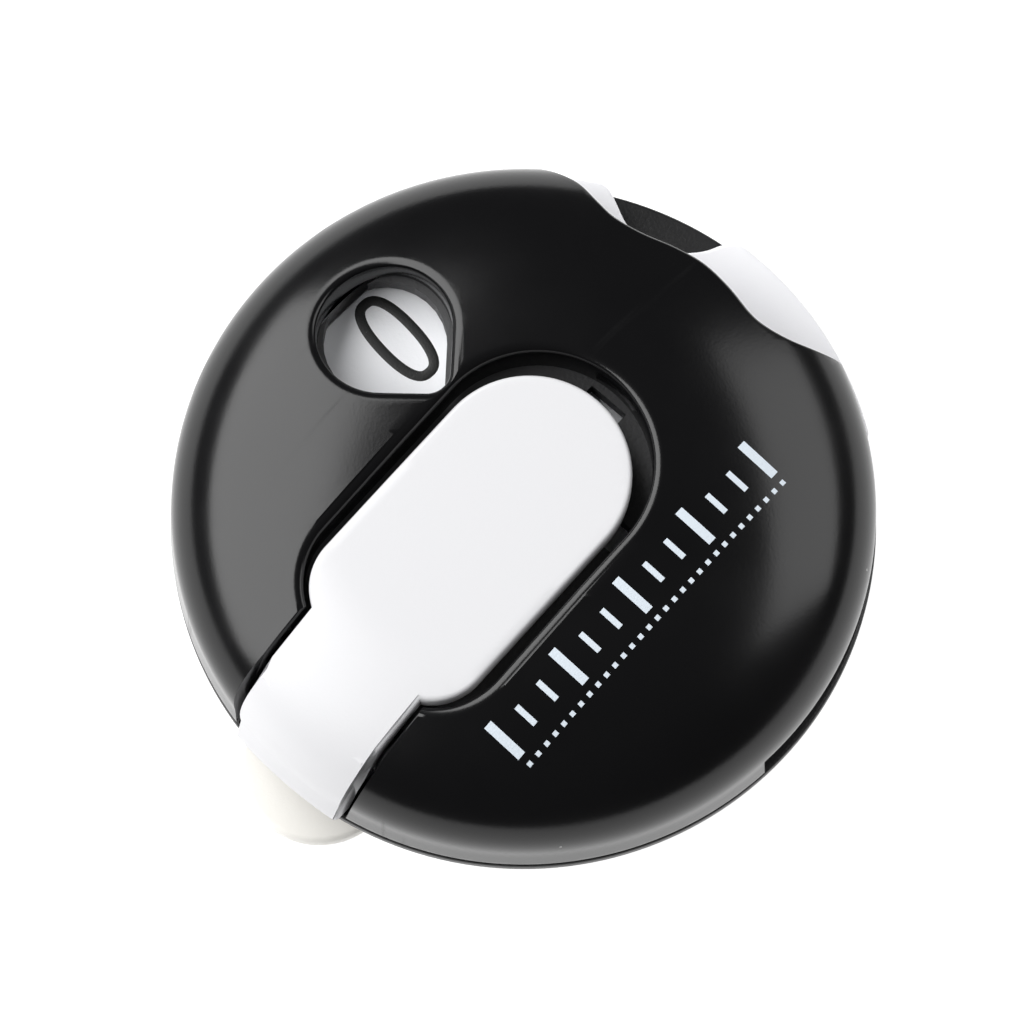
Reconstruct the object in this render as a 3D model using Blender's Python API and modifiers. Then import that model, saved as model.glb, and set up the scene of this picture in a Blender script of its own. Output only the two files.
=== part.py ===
"""Clip-on hand tally counter, 0 to 12, with a reset lever in its side.

Frame: metres, +Z up through the domed cover, +X along the count paddle from the
rim it is hinged at, origin on the case axis at the clip's flat outer face.
"""

from math import acos, asin, cos, degrees, pi, radians, sin, tau

import bmesh
import bpy
from mathutils import Matrix, Vector

MM = 0.001

# ---- clearances -----------------------------------------------------------
GAP = 0.3 * MM                    # between any two pieces that face each other
TIP_GAP = 0.25 * MM               # pawl nose to the ratchet's tip circle

# ---- case, from the clip's face upwards -----------------------------------
CASE_R = 20.1 * MM                # rim radius, which the plan sizes follow
CLIP_T = 1.3 * MM                 # clip plate
CLIP_SPACE = 2.6 * MM             # belt or cap brim between clip and case
BASE_Z = CLIP_T + CLIP_SPACE      # underside of the case
BASE_R = CASE_R - 0.9 * MM        # underside radius, flared out to the flange
FLOOR_T = 1.4 * MM
FLOOR_Z = BASE_Z + FLOOR_T
FLANGE_R = CASE_R
FLANGE_H = 0.7 * MM               # flange above the floor
FLANGE_Z = FLOOR_Z + FLANGE_H
FLANGE_IN_R = CASE_R - 2.4 * MM   # the floor is sunk inside this radius

# ---- top cover ------------------------------------------------------------
SKIRT_R = CASE_R                  # outer radius at the parting line
DOME_R = CASE_R - 0.2 * MM        # outer radius where the dome begins
SIDE_SLOT_H = 2.4 * MM
DOME_Z = FLANGE_Z + SIDE_SLOT_H   # the dome starts at the side slot's top edge
DOME_H = 7.0 * MM
DOME_POWER = 2.5                  # superellipse exponent of the dome
CROWN_Z = DOME_Z + DOME_H
COVER_WALL = 1.5 * MM
SIDE_SLOT_FROM = 41.0             # degrees about the case axis
SIDE_SLOT_TO = -96.0
COLLAR_WALL = 1.0 * MM            # wall hanging round the paddle slot and window

# ---- count paddle and its slot --------------------------------------------
PAD_HALF_W = 5.7 * MM
PAD_END_X = 6.2 * MM
PAD_SINK = 0.8 * MM               # pad below the crown
PAD_T = 1.1 * MM
PAD_SHOULDER_X = -10.1 * MM
PAD_SHOULDER_R = 3.4 * MM
NECK_HALF_W = 4.0 * MM
NECK_FLARE = 0.25 * MM            # each side, at the rim
NECK_FLARE_X = 3.6 * MM - CASE_R
PADDLE_RIM_R = CASE_R + 0.4 * MM  # the paddle stands a little proud of the rim
SLOT_SIDE_GAP = 0.7 * MM
SLOT_END_GAP = 1.4 * MM
SLOT_SHOULDER_X = -9.4 * MM
SLOT_SHOULDER_R = 4.45 * MM
PIN_R = 0.5 * MM
PRESS_DEG = 3.5                   # the paddle's stroke about its pin
PIN_X = 3.7 * MM - CASE_R
PIN_Z = DOME_Z + 0.6 * MM
LUG_R = 1.6 * MM
LUG_W = 1.2 * MM
EAR_R = 1.0 * MM
EAR_W = 1.0 * MM

# ---- window ---------------------------------------------------------------
WINDOW_X = 1.45 * MM
WINDOW_Y = 11.7 * MM
WINDOW_R = 3.85 * MM
WINDOW_CORNER_R = 1.3 * MM
WINDOW_CORNER_DEG = -96.0
WINDOW_STEP = 0.35 * MM           # the inner plate's edge shows inside the cover's

# ---- inner plate ----------------------------------------------------------
PLATE_T = 1.2 * MM
PLATE_Z = DOME_Z + 2.3 * MM       # its underside
PLATE_RISE = (PLATE_Z + PLATE_T + GAP - DOME_Z) / (DOME_H - COVER_WALL)
PLATE_R = (DOME_R - COVER_WALL) * (1 - PLATE_RISE ** DOME_POWER) ** (1 / DOME_POWER)
SLOT_A = (6.1 * MM, 7.2 * MM, -1.3 * MM, 1.25 * MM)      # x0, x1, y0, y1
SLOT_B = (0.6 * MM, 2.4 * MM, -6.2 * MM, -4.9 * MM)

# ---- number wheel and ratchet ---------------------------------------------
COUNTS = 13                       # 0 to 12
STEP_DEG = 360.0 / COUNTS
WHEEL_X = 1.1 * MM                # the wheel's axis, a little off the case axis
WHEEL_IN_R = 15.0 * MM            # across the flats, halved
WHEEL_T = 1.2 * MM
WHEEL_Z = PLATE_Z - 0.4 * MM - WHEEL_T
ZERO_DEG = 85.5                   # where the 0 stands at rest
BOSS_R = 2.0 * MM                 # tubular boss that the wheel turns on
BOSS_BORE_R = 1.15 * MM
HUB_R = 3.1 * MM
RATCHET_T = 0.8 * MM
RATCHET_Z = WHEEL_Z - GAP - RATCHET_T
RATCHET_TIP_R = 4.2 * MM
RATCHET_ROOT_R = 3.5 * MM
HUB_Z = FLOOR_Z + 1.6 * MM        # clear of the drive slide under it
STOP_R = 14.2 * MM                # zero stop, radius from the wheel's axis
STOP_W = 1.0 * MM
STOP_DEG = 215.0

# ---- mainspring -----------------------------------------------------------
MAIN_T = 0.2 * MM
MAIN_H = 0.8 * MM
MAIN_IN_R = HUB_R + GAP
MAIN_OUT_R = 5.0 * MM
MAIN_TURNS = 3.25

# ---- plunger, slide and drive pawl ----------------------------------------
PLUNGER_R = 0.8 * MM
PLUNGER_HEAD_R = 1.5 * MM
PLUNGER_HEAD_T = 0.5 * MM
PLUNGER_TRAVEL = (WHEEL_X - PIN_X) * radians(PRESS_DEG)
PLUNGER_TOP_Z = CROWN_Z - PAD_SINK - PAD_T - GAP
SLIDE_T = 1.0 * MM
SLIDE_Z = FLOOR_Z + GAP
SLIDE_RATIO = 2.0                 # slide travel for the plunger's, by the ramp's slope
SLIDE_TRAVEL = SLIDE_RATIO * PLUNGER_TRAVEL
SLIDE_X0 = -1.6 * MM
SLIDE_X1 = 9.0 * MM
SLIDE_Y0 = -4.2 * MM
SLIDE_Y1 = 5.2 * MM
PAWL_PIN_R = 0.45 * MM
DRIVE_PAWL_X = 7.4 * MM
DRIVE_PAWL_Y = 3.0 * MM
HAIRPIN_R = 0.75 * MM             # loop of the two pawl springs
HAIRPIN_WIRE_R = 0.12 * MM
SPRING_POST_R = 0.3 * MM

# ---- reset lever ----------------------------------------------------------
RESET_IN_R = FLANGE_IN_R - 1.8 * MM
RESET_OUT_R = FLANGE_IN_R - GAP
RESET_LOBE_R = CASE_R
RESET_Z = FLOOR_Z + GAP
RESET_TOP_Z = DOME_Z - GAP
RESET_FROM = 44.0
RESET_TO = -40.0
RESET_TRAVEL = 45.0
LOBE_SMALL_END = 39.0             # degrees about the case axis
LOBE_BIG_START = -36.0
LOBE_BIG_END = 1.0
NOTCH_DEPTH = 2.9                 # finger notch, in mm below the lobes
CAM_IN_R = RESET_IN_R - 2.0 * MM
CAM_FROM = -12.0
CAM_TO = -17.0
RAIL_R = RESET_IN_R - GAP
RAIL_T = 0.6 * MM
RESET_SPRING_R = (RESET_IN_R + RESET_OUT_R) / 2
RESET_POST_DEG = RESET_TO - RESET_TRAVEL - 19.0      # room for the closed spring

# ---- holding pawl ---------------------------------------------------------
HOLD_X = 8.0 * MM
HOLD_Y = -6.3 * MM
HOLD_EYE_R = 1.2 * MM
HOLD_NOSE_DEG = -100.0            # about the wheel's axis
HOLD_SHOE_DEG = (-27.0, -20.0)    # the tail's end, about the case axis

# ---- clip -----------------------------------------------------------------
TAB_X = 2.5 * MM - CASE_R
TAB_R = 4.6 * MM
CLIP_HALF_W = 4.4 * MM
CLIP_END_X = 15.0 * MM
CLIP_PIN_X = -7.0 * MM
CLIP_PIN_Z = 2.6 * MM
CLIP_EAR_R = 1.0 * MM
CLIP_EAR_W = 1.0 * MM
CLIP_EAR_Y = 2.4 * MM
CASE_EAR_Y = CLIP_EAR_Y + CLIP_EAR_W + GAP

# ---- screws ---------------------------------------------------------------
SCREW_DEG = (100.0, 150.0, -128.0)
SCREW_CIRCLE_R = CASE_R - 3.25 * MM
SCREW_R = 0.6 * MM
SCREW_HEAD_R = 1.15 * MM
SCREW_HEAD_H = 0.8 * MM
SCREW_L = 4.6 * MM
BOSS_WALL_R = 1.3 * MM
SCREW_SPLIT_Z = DOME_Z - 0.6 * MM # case post below, cover boss above

ROUND = 60                        # facets round the case


# ---- scene ----------------------------------------------------------------
for old in list(bpy.data.objects):
    bpy.data.objects.remove(old)

PARTS = bpy.data.collections.new("tally_counter")
CUTTERS = bpy.data.collections.new("cutters")
bpy.context.scene.collection.children.link(PARTS)
bpy.context.scene.collection.children.link(CUTTERS)


def material(name, colour, roughness, metallic=0.0):
    mat = bpy.data.materials.new(name)
    mat.use_nodes = True
    shader = mat.node_tree.nodes["Principled BSDF"]
    shader.inputs["Base Color"].default_value = (*colour, 1.0)
    shader.inputs["Roughness"].default_value = roughness
    shader.inputs["Metallic"].default_value = metallic
    return mat


BLACK = material("black_abs", (0.012, 0.012, 0.014), 0.32)
DARK = material("black_inner", (0.02, 0.02, 0.022), 0.55)
WHITE = material("white_abs", (0.86, 0.86, 0.87), 0.38)
CREAM = material("cream_acetal", (0.84, 0.82, 0.76), 0.42)
ACETAL = material("natural_acetal", (0.72, 0.71, 0.68), 0.4)
STEEL = material("steel", (0.55, 0.55, 0.56), 0.3, 1.0)


# ---- outlines -------------------------------------------------------------
def arc(cx, cy, radius, start, end, count):
    """Points along an arc, angles in degrees, both ends included."""
    step = (end - start) / (count - 1)
    angles = (radians(start + step * i) for i in range(count))
    return [(cx + radius * cos(a), cy + radius * sin(a)) for a in angles]


def sector(r_in, r_out, start, end, count=12):
    return arc(0, 0, r_out, start, end, count) + arc(0, 0, r_in, end, start, count)


def box_outline(x0, x1, y0, y1):
    return [(x0, y0), (x1, y0), (x1, y1), (x0, y1)]


def mirrored(half):
    """Closes an outline given on the +Y side, from +X round to -X."""
    return half + [(x, -y) for x, y in reversed(half) if abs(y) > 1e-9]


def smooth(points, count=5):
    """A curve through every point, with count steps between two of them."""
    ends = [points[0]] + list(points) + [points[-1]]
    line = []
    for a, b, c, d in zip(ends, ends[1:], ends[2:], ends[3:]):
        for i in range(count):
            t = i / count
            line.append(tuple(
                0.5 * (2 * q + (r - p) * t + (2 * p - 5 * q + 4 * r - s) * t ** 2
                       + (3 * q - p - 3 * r + s) * t ** 3)
                for p, q, r, s in zip(a, b, c, d)))
    return line + [points[-1]]


def paddle_outline(half_w, end_x, shoulder_x, shoulder_r, neck, grow=0.0):
    """Pad with a round end, shoulders and a neck that runs out past the rim."""
    half_w, end_x, neck = half_w + grow, end_x + grow, neck + grow
    shoulder_r = shoulder_r + grow
    centre_y = half_w - shoulder_r
    corner = 180 - degrees(asin((neck - centre_y) / shoulder_r))
    far = -PADDLE_RIM_R - 2 * MM
    half = arc(end_x - half_w, 0, half_w, 0, 90, 10)
    half += arc(shoulder_x, centre_y, shoulder_r, 90, corner, 7)
    half += [(NECK_FLARE_X, neck), (far, neck + NECK_FLARE * 1.5)]
    return mirrored(half)


def slot_outline(grow=0.0):
    return paddle_outline(PAD_HALF_W + SLOT_SIDE_GAP, PAD_END_X + SLOT_END_GAP, SLOT_SHOULDER_X,
                          SLOT_SHOULDER_R, NECK_HALF_W + GAP, grow)


def window_outline(grow=0.0):
    """A circle drawn out to a rounded square corner."""
    radius, corner_r = WINDOW_R + grow, WINDOW_CORNER_R + grow
    reach = (radius - corner_r) * 2 ** 0.5
    turn = radians(WINDOW_CORNER_DEG)
    big = arc(WINDOW_X, WINDOW_Y, radius, WINDOW_CORNER_DEG + 45, WINDOW_CORNER_DEG + 315, 22)
    small = arc(WINDOW_X + reach * cos(turn), WINDOW_Y + reach * sin(turn), corner_r,
                WINDOW_CORNER_DEG - 45, WINDOW_CORNER_DEG + 45, 6)
    return big + small


def dome_line(radius, base_z, height, count):
    """Superellipse from the crown down to the dome's edge, as (radius, z)."""
    line = []
    for i in range(count):
        angle = radians(90 * (1 - i / (count - 1)))
        r = radius * max(cos(angle), 0) ** (2 / DOME_POWER)
        line.append((r if i else 0.0, base_z + height * sin(angle) ** (2 / DOME_POWER)))
    return line


# ---- solids ---------------------------------------------------------------
def place(obj, name, mat=None, cutter=False):
    obj.name = name
    for coll in list(obj.users_collection):
        coll.objects.unlink(obj)
    (CUTTERS if cutter else PARTS).objects.link(obj)
    obj.hide_render = cutter
    if cutter:
        obj.display_type = "WIRE"
    if mat:
        obj.data.materials.append(mat)
    return obj


def curve_to_mesh(curve_obj):
    """The curve's solid as a mesh object with welded caps."""
    depsgraph = bpy.context.evaluated_depsgraph_get()
    depsgraph.update()
    mesh = bpy.data.meshes.new_from_object(curve_obj.evaluated_get(depsgraph))
    work = bmesh.new()
    work.from_mesh(mesh)
    bmesh.ops.remove_doubles(work, verts=work.verts, dist=1e-6)
    bmesh.ops.recalc_face_normals(work, faces=work.faces)
    work.to_mesh(mesh)
    work.free()
    solid = bpy.data.objects.new(curve_obj.name, mesh)
    solid.matrix_world = curve_obj.matrix_world
    bpy.context.scene.collection.objects.link(solid)
    bpy.data.objects.remove(curve_obj)
    return solid


def prism(name, outline, z0, z1, mat=None, cutter=True):
    """A flat outline between two heights."""
    curve = bpy.data.curves.new(name, "CURVE")
    curve.dimensions = "2D"
    curve.fill_mode = "BOTH"
    curve.extrude = (z1 - z0) / 2
    spline = curve.splines.new("POLY")
    spline.points.add(len(outline) - 1)
    for point, (x, y) in zip(spline.points, outline):
        point.co = (x, y, 0, 1)
    spline.use_cyclic_u = True
    obj = bpy.data.objects.new(name, curve)
    bpy.context.scene.collection.objects.link(obj)
    obj.location.z = (z0 + z1) / 2
    bpy.context.view_layer.update()
    return place(curve_to_mesh(obj), name, mat, cutter)


def cylinder(name, radius, z0, z1, x=0.0, y=0.0, mat=None, cutter=True, sides=24, top_r=None):
    bpy.ops.mesh.primitive_cone_add(vertices=sides, radius1=radius, depth=z1 - z0,
                                    radius2=radius if top_r is None else top_r,
                                    location=(x, y, (z0 + z1) / 2))
    return place(bpy.context.object, name, mat, cutter)


def cross_pin(name, radius, x, z, y0, y1, mat=None, cutter=True, sides=20):
    """A cylinder along Y."""
    bpy.ops.mesh.primitive_cylinder_add(vertices=sides, radius=radius, depth=y1 - y0,
                                        location=(x, (y0 + y1) / 2, z), rotation=(pi / 2, 0, 0))
    return place(bpy.context.object, name, mat, cutter)


def block(name, x0, x1, y0, y1, z0, z1, mat=None, cutter=True):
    return prism(name, box_outline(x0, x1, y0, y1), z0, z1, mat, cutter)


def turned(name, profile, mat=None, cutter=False, steps=ROUND):
    """A profile of (radius, z), running down its outer side, turned about Z."""
    mesh = bpy.data.meshes.new(name)
    verts = [(r, 0, z) for r, z in profile]
    closed = profile[0][0] > 0
    edges = [(i, i + 1) for i in range(len(verts) - 1)]
    if closed:
        edges.append((len(verts) - 1, 0))
    mesh.from_pydata(verts, edges, [])
    obj = place(bpy.data.objects.new(name, mesh), name, mat, cutter)
    screw = obj.modifiers.new("turn", "SCREW")
    screw.steps = steps
    screw.render_steps = steps
    screw.use_merge_vertices = True
    screw.merge_threshold = 1e-6
    return obj


def wire(name, points, radius, mat=STEEL, closed=False):
    """A round wire along a chain of points."""
    curve = bpy.data.curves.new(name, "CURVE")
    curve.dimensions = "3D"
    curve.bevel_depth = radius
    curve.bevel_resolution = 1
    curve.use_fill_caps = True
    spline = curve.splines.new("POLY")
    spline.points.add(len(points) - 1)
    for point, co in zip(spline.points, points):
        point.co = (*co, 1)
    spline.use_cyclic_u = closed
    obj = bpy.data.objects.new(name, curve)
    bpy.context.scene.collection.objects.link(obj)
    bpy.context.view_layer.update()
    return place(curve_to_mesh(obj), name, mat)


def cut(target, *tools):
    for tool in tools:
        mod = target.modifiers.new("cut", "BOOLEAN")
        mod.operation = "DIFFERENCE"
        mod.object = tool
    return target


def join(target, *tools):
    for tool in tools:
        mod = target.modifiers.new("join", "BOOLEAN")
        mod.operation = "UNION"
        mod.object = tool
    return target


def keep_inside(target, tool):
    mod = target.modifiers.new("trim", "BOOLEAN")
    mod.operation = "INTERSECT"
    mod.object = tool
    return target


def polar(radius, angle, cx=0.0):
    return cx + radius * cos(radians(angle)), radius * sin(radians(angle))


def axis(name, x, y, z, *pieces):
    """An empty on a joint's axis, with the pieces that move about it."""
    empty = bpy.data.objects.new(name, None)
    empty.location = (x, y, z)
    empty.empty_display_size = 2 * MM
    PARTS.objects.link(empty)
    for piece in pieces:
        piece.parent = empty
        piece.matrix_parent_inverse = Matrix.Translation(-Vector((x, y, z)))
    return empty


# ---- case -----------------------------------------------------------------
def screw_places():
    return [polar(SCREW_CIRCLE_R, angle) for angle in SCREW_DEG]


def finger_bite():
    """Shallow scallops in the cover's edge, over the reset lever's notch."""
    depths = [(43.0, -1.2), (39.5, 0.3), (35.4, 0.9), (31.8, 1.5), (27.6, 2.6), (23.3, 3.4), (17.0, 3.75),
              (10.0, 3.6), (3.8, 3.46), (-3.1, 3.6), (-9.9, 3.77), (-14.3, 3.45), (-18.7, 2.6),
              (-22.4, 1.3), (-24.6, 0.2), (-26.5, -1.2)]
    edge = smooth([polar(CASE_R - depth * MM, angle) for angle, depth in depths], 3)
    return edge + [polar(CASE_R + 5 * MM, -26.5), polar(CASE_R + 8 * MM, 8), polar(CASE_R + 5 * MM, 43)]


def top_cover():
    skirt_z = FLANGE_Z + GAP
    outer = dome_line(DOME_R, DOME_Z, DOME_H, 13) + [(SKIRT_R, skirt_z)]
    inner = dome_line(DOME_R - COVER_WALL, DOME_Z, DOME_H - COVER_WALL, 9)
    inner_foot = (SKIRT_R - COVER_WALL, skirt_z)
    cover = turned("top_cover", outer + [inner_foot] + list(reversed(inner)), BLACK)
    collar_z = PLATE_Z + PLATE_T + GAP
    under_dome = dome_line(DOME_R - COVER_WALL / 2, DOME_Z, DOME_H - COVER_WALL / 2, 9)
    dome_fill = turned("dome_fill", under_dome + [(0.0, DOME_Z)], cutter=True)
    for name, outline in (("slot_collar", slot_outline(COLLAR_WALL)),
                          ("window_collar", window_outline(COLLAR_WALL))):
        collar = prism(name, outline, collar_z, CROWN_Z + MM)
        keep_inside(collar, dome_fill)
        join(cover, collar)
    for i, (x, y) in enumerate(screw_places()):
        boss = cylinder(f"cover_boss_{i}", BOSS_WALL_R, SCREW_SPLIT_Z + GAP, CROWN_Z, x, y)
        keep_inside(boss, dome_fill)
        pilot = cylinder(f"cover_pilot_{i}", SCREW_R + GAP, BASE_Z, BASE_Z + SCREW_L + 1.7 * MM, x, y)
        join(cover, boss)
        cut(cover, pilot)
    cut(cover,
        prism("paddle_slot", slot_outline(), BASE_Z, CROWN_Z + MM),
        prism("window_cut", window_outline(), PLATE_Z, CROWN_Z + MM),
        prism("side_slot", sector(RESET_IN_R, SKIRT_R + 2 * MM, SIDE_SLOT_TO, SIDE_SLOT_FROM, 30),
              BASE_Z, DOME_Z),
        prism("finger_bite", finger_bite(), BASE_Z, CROWN_Z + MM))
    return cover


def inner_plate():
    top = PLATE_Z + PLATE_T
    plate = turned("inner_plate", [(0.0, top), (PLATE_R, top), (PLATE_R, PLATE_Z),
                                   (0.0, PLATE_Z)], DARK)
    boss = cylinder("wheel_boss", BOSS_R, HUB_Z, PLATE_Z + 0.5 * MM, WHEEL_X)
    join(plate, boss)
    relief_x = PIN_X + LUG_R + 2 * GAP
    cut(plate,
        prism("plate_window", window_outline(-WINDOW_STEP), PLATE_Z - MM, top + MM),
        block("slot_a", *SLOT_A, PLATE_Z - MM, top + MM),
        block("slot_b", *SLOT_B, PLATE_Z - MM, top + MM),
        block("lug_relief", -20 * MM, relief_x, -NECK_HALF_W - LUG_W, NECK_HALF_W + LUG_W,
              PLATE_Z - MM, top + MM),
        cylinder("plunger_bore", BOSS_BORE_R, HUB_Z - MM, top + MM, WHEEL_X),
        cylinder("head_recess", PLUNGER_HEAD_R + GAP,
                 PLUNGER_TOP_Z - PLUNGER_HEAD_T - PLUNGER_TRAVEL - GAP, top + MM, WHEEL_X))
    return plate


def bottom_case():
    profile = [(0.0, FLOOR_Z), (FLANGE_IN_R, FLOOR_Z), (FLANGE_IN_R, FLANGE_Z),
               (FLANGE_R - 0.15 * MM, FLANGE_Z), (FLANGE_R, FLANGE_Z - 0.15 * MM),
               (FLANGE_R, FLOOR_Z), (BASE_R, BASE_Z + 0.4 * MM), (BASE_R - 0.4 * MM, BASE_Z),
               (0.0, BASE_Z)]
    case = turned("bottom_case", profile, BLACK)
    sunk = FLOOR_Z - 0.5 * MM
    top = SCREW_SPLIT_Z
    for i, (x, y) in enumerate(screw_places()):
        join(case, cylinder(f"case_post_{i}", BOSS_WALL_R, sunk, top, x, y))
    # ears that hold the paddle's pin, outside the neck
    ear_y = NECK_HALF_W + GAP + 0.2 * MM
    for side in (1, -1):
        y0, y1 = sorted((side * ear_y, side * (ear_y + EAR_W)))
        join(case,
             cross_pin(f"ear_{side}", EAR_R, PIN_X, PIN_Z, y0, y1),
             block(f"ear_foot_{side}", PIN_X - EAR_R, PIN_X + EAR_R, y0, y1, sunk, PIN_Z))
    # curved rail inside the reset lever, open where the lever's cam works
    for name, start, end in (("rail_a", RESET_FROM, -4.0), ("rail_b", -66.0, -100.0)):
        join(case, prism(name, sector(RAIL_R - RAIL_T, RAIL_R, end, start), sunk, RESET_Z + MM))
    # post for the reset spring, zero stop for the wheel, slide guides
    join(case,
         prism("reset_post", sector(RESET_IN_R, RESET_OUT_R, RESET_POST_DEG - 4, RESET_POST_DEG, 4),
               sunk, RESET_TOP_Z),
         cylinder("zero_stop", STOP_W / 2, sunk, WHEEL_Z - GAP, *polar(STOP_R, STOP_DEG, WHEEL_X),
                  sides=12),
         block("guide_a", SLIDE_X0 - GAP - MM, SLIDE_X0 - GAP, -5.0 * MM, 5.0 * MM, sunk,
               SLIDE_Z + SLIDE_T),
         block("guide_b", SLIDE_X1 + GAP, SLIDE_X1 + GAP + MM, -3.8 * MM, 5.0 * MM, sunk,
               SLIDE_Z + SLIDE_T),
         block("slide_spring_stop", 3.0 * MM, 7.0 * MM, -10.4 * MM, -9.6 * MM, sunk,
               SLIDE_Z + SLIDE_T),
         cylinder("mainspring_post", 0.5 * MM, sunk, HUB_Z + MAIN_H,
                  *polar(MAIN_OUT_R + MAIN_T + GAP + 0.5 * MM, 150.0, WHEEL_X), sides=12))
    # ears under the floor for the clip's pin
    for side in (1, -1):
        y0, y1 = sorted((side * CASE_EAR_Y, side * (CASE_EAR_Y + CLIP_EAR_W)))
        join(case,
             cross_pin(f"clip_ear_{side}", CLIP_EAR_R, CLIP_PIN_X, CLIP_PIN_Z, y0, y1),
             block(f"clip_ear_foot_{side}", CLIP_PIN_X - CLIP_EAR_R, CLIP_PIN_X + CLIP_EAR_R,
                   y0, y1, CLIP_PIN_Z, BASE_Z + 0.5 * MM))
    hole_r = PIN_R + GAP
    ear_end = ear_y + EAR_W + MM
    cut(case,
        cross_pin("paddle_pin_hole", hole_r, PIN_X, PIN_Z, -ear_end, ear_end),
        cross_pin("clip_pin_hole", hole_r - 0.05 * MM, CLIP_PIN_X, CLIP_PIN_Z, -8 * MM, 8 * MM),
        cylinder("hold_pin_hole", PAWL_PIN_R + GAP, FLOOR_Z - 0.8 * MM, FLOOR_Z + MM, HOLD_X, HOLD_Y,
                 sides=16))
    for i, (x, y) in enumerate(screw_places()):
        cut(case,
            cylinder(f"head_recess_{i}", SCREW_HEAD_R + GAP, BASE_Z - MM,
                     BASE_Z + SCREW_HEAD_H + 2 * GAP, x, y),
            cylinder(f"screw_hole_{i}", SCREW_R + GAP, BASE_Z, top + MM, x, y))
    return case


def case_screws():
    """Three pan-head screws from the back."""
    screws = []
    for i, (x, y) in enumerate(screw_places()):
        z = BASE_Z + GAP
        head = cylinder(f"case_screw_{i + 1}", SCREW_HEAD_R, z, z + SCREW_HEAD_H, x, y, STEEL, False, 20)
        shank = cylinder(f"shank_{i}", SCREW_R, z + SCREW_HEAD_H / 2, z + SCREW_L, x, y, sides=16)
        drive = [block(f"drive_{i}_{k}", x - a, x + a, y - b, y + b, z - MM, z + 0.35 * MM)
                 for k, (a, b) in enumerate(((0.65 * MM, 0.15 * MM), (0.15 * MM, 0.65 * MM)))]
        join(head, shank)
        cut(head, *drive)
        screws.append(head)
    return screws


# ---- paddle ---------------------------------------------------------------
def count_paddle():
    pad_z = CROWN_Z - PAD_SINK
    foot_z = FLANGE_Z + GAP
    dome = [(r, z) for r, z in dome_line(DOME_R, DOME_Z, DOME_H, 17) if z < pad_z - 0.05 * MM]
    skin = [(0.0, pad_z), (12.6 * MM, pad_z)] + dome
    skin += [(DOME_R + 0.25 * MM, DOME_Z - 0.6 * MM), (PADDLE_RIM_R, foot_z + 0.5 * MM),
             (PADDLE_RIM_R, foot_z)]
    inside = [(r - PAD_T, z) for r, z in reversed(skin[-3:])]
    inside += [(r - PAD_T * (r / DOME_R) ** 3, z - PAD_T * (1 - (r / DOME_R) ** 8))
               for r, z in reversed(skin[1:-3])]
    shell = turned("count_paddle", skin + inside + [(0.0, pad_z - PAD_T)], WHITE)
    keep_inside(shell, prism("paddle_plan", paddle_outline(
        PAD_HALF_W, PAD_END_X, PAD_SHOULDER_X, PAD_SHOULDER_R, NECK_HALF_W), BASE_Z, CROWN_Z + MM))
    # the plan runs out past the rim on one side only
    cut(shell, block("paddle_half", PAD_END_X + 0.5 * MM, 30 * MM, -30 * MM, 30 * MM, 0, CROWN_Z + MM))
    lug_y = NECK_HALF_W - LUG_W - 0.3 * MM
    for side in (1, -1):
        y0, y1 = sorted((side * lug_y, side * (lug_y + LUG_W)))
        join(shell,
             cross_pin(f"lug_{side}", LUG_R, PIN_X, PIN_Z, y0, y1),
             block(f"lug_web_{side}", PIN_X - 1.2 * MM, PIN_X + 1.2 * MM, y0, y1, PIN_Z,
                   PIN_Z + 3.2 * MM))
    cut(shell, cross_pin("lug_bore", PIN_R + GAP, PIN_X, PIN_Z, -8 * MM, 8 * MM))
    return shell


def paddle_pin():
    half = NECK_HALF_W + GAP + 0.2 * MM + EAR_W
    return cross_pin("paddle_pin", PIN_R, PIN_X, PIN_Z, -half, half, STEEL, False)


def coil(name, x, y, z0, z1, radius, wire_r, turns, per_turn=10):
    """An upright compression spring between two heights."""
    z0, z1 = z0 + wire_r, z1 - wire_r
    total = int(turns * per_turn)
    points = []
    for i in range(total + 1):
        angle = tau * i / per_turn
        points.append((x + radius * cos(angle), y + radius * sin(angle), z0 + (z1 - z0) * i / total))
    return wire(name, points, wire_r)


# ---- number wheel ---------------------------------------------------------
def number_wheel():
    circum_r = WHEEL_IN_R / cos(pi / COUNTS)
    wheel = cylinder("number_wheel", circum_r, WHEEL_Z, WHEEL_Z + WHEEL_T, 0, 0, WHITE, False, COUNTS)
    wheel.location.x = WHEEL_X
    # a primitive's first corner stands at +Y: turn it half a step off the 0
    wheel.rotation_euler.z = radians(ZERO_DEG - 90 + STEP_DEG / 2)
    peg_deg = STOP_DEG - degrees((STOP_W + GAP) / STOP_R)
    peg = cylinder("zero_peg", STOP_W / 2, WHEEL_Z - 0.6 * MM, WHEEL_Z + 0.4 * MM,
                   *polar(STOP_R, peg_deg, WHEEL_X), sides=12)
    join(wheel, peg)
    cut(wheel, cylinder("wheel_bore", HUB_R + GAP, WHEEL_Z - MM, WHEEL_Z + WHEEL_T + MM, WHEEL_X))
    return wheel


def ratchet_wheel():
    teeth = []
    for i in range(COUNTS):
        start = radians(STEP_DEG * i)
        for share, radius in ((0.0, RATCHET_TIP_R), (0.08, RATCHET_ROOT_R),
                              (0.55, (RATCHET_ROOT_R + RATCHET_TIP_R) / 2)):
            a = start + share * radians(STEP_DEG)
            teeth.append((WHEEL_X + radius * cos(a), radius * sin(a)))
    wheel = prism("ratchet_wheel", teeth, RATCHET_Z, RATCHET_Z + RATCHET_T, ACETAL, False)
    hub = cylinder("hub", HUB_R, HUB_Z, WHEEL_Z + WHEEL_T - 0.2 * MM, WHEEL_X)
    join(wheel, hub)
    cut(wheel, cylinder("hub_bore", BOSS_R + GAP, HUB_Z - MM, WHEEL_Z + WHEEL_T + MM, WHEEL_X))
    return wheel


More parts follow.
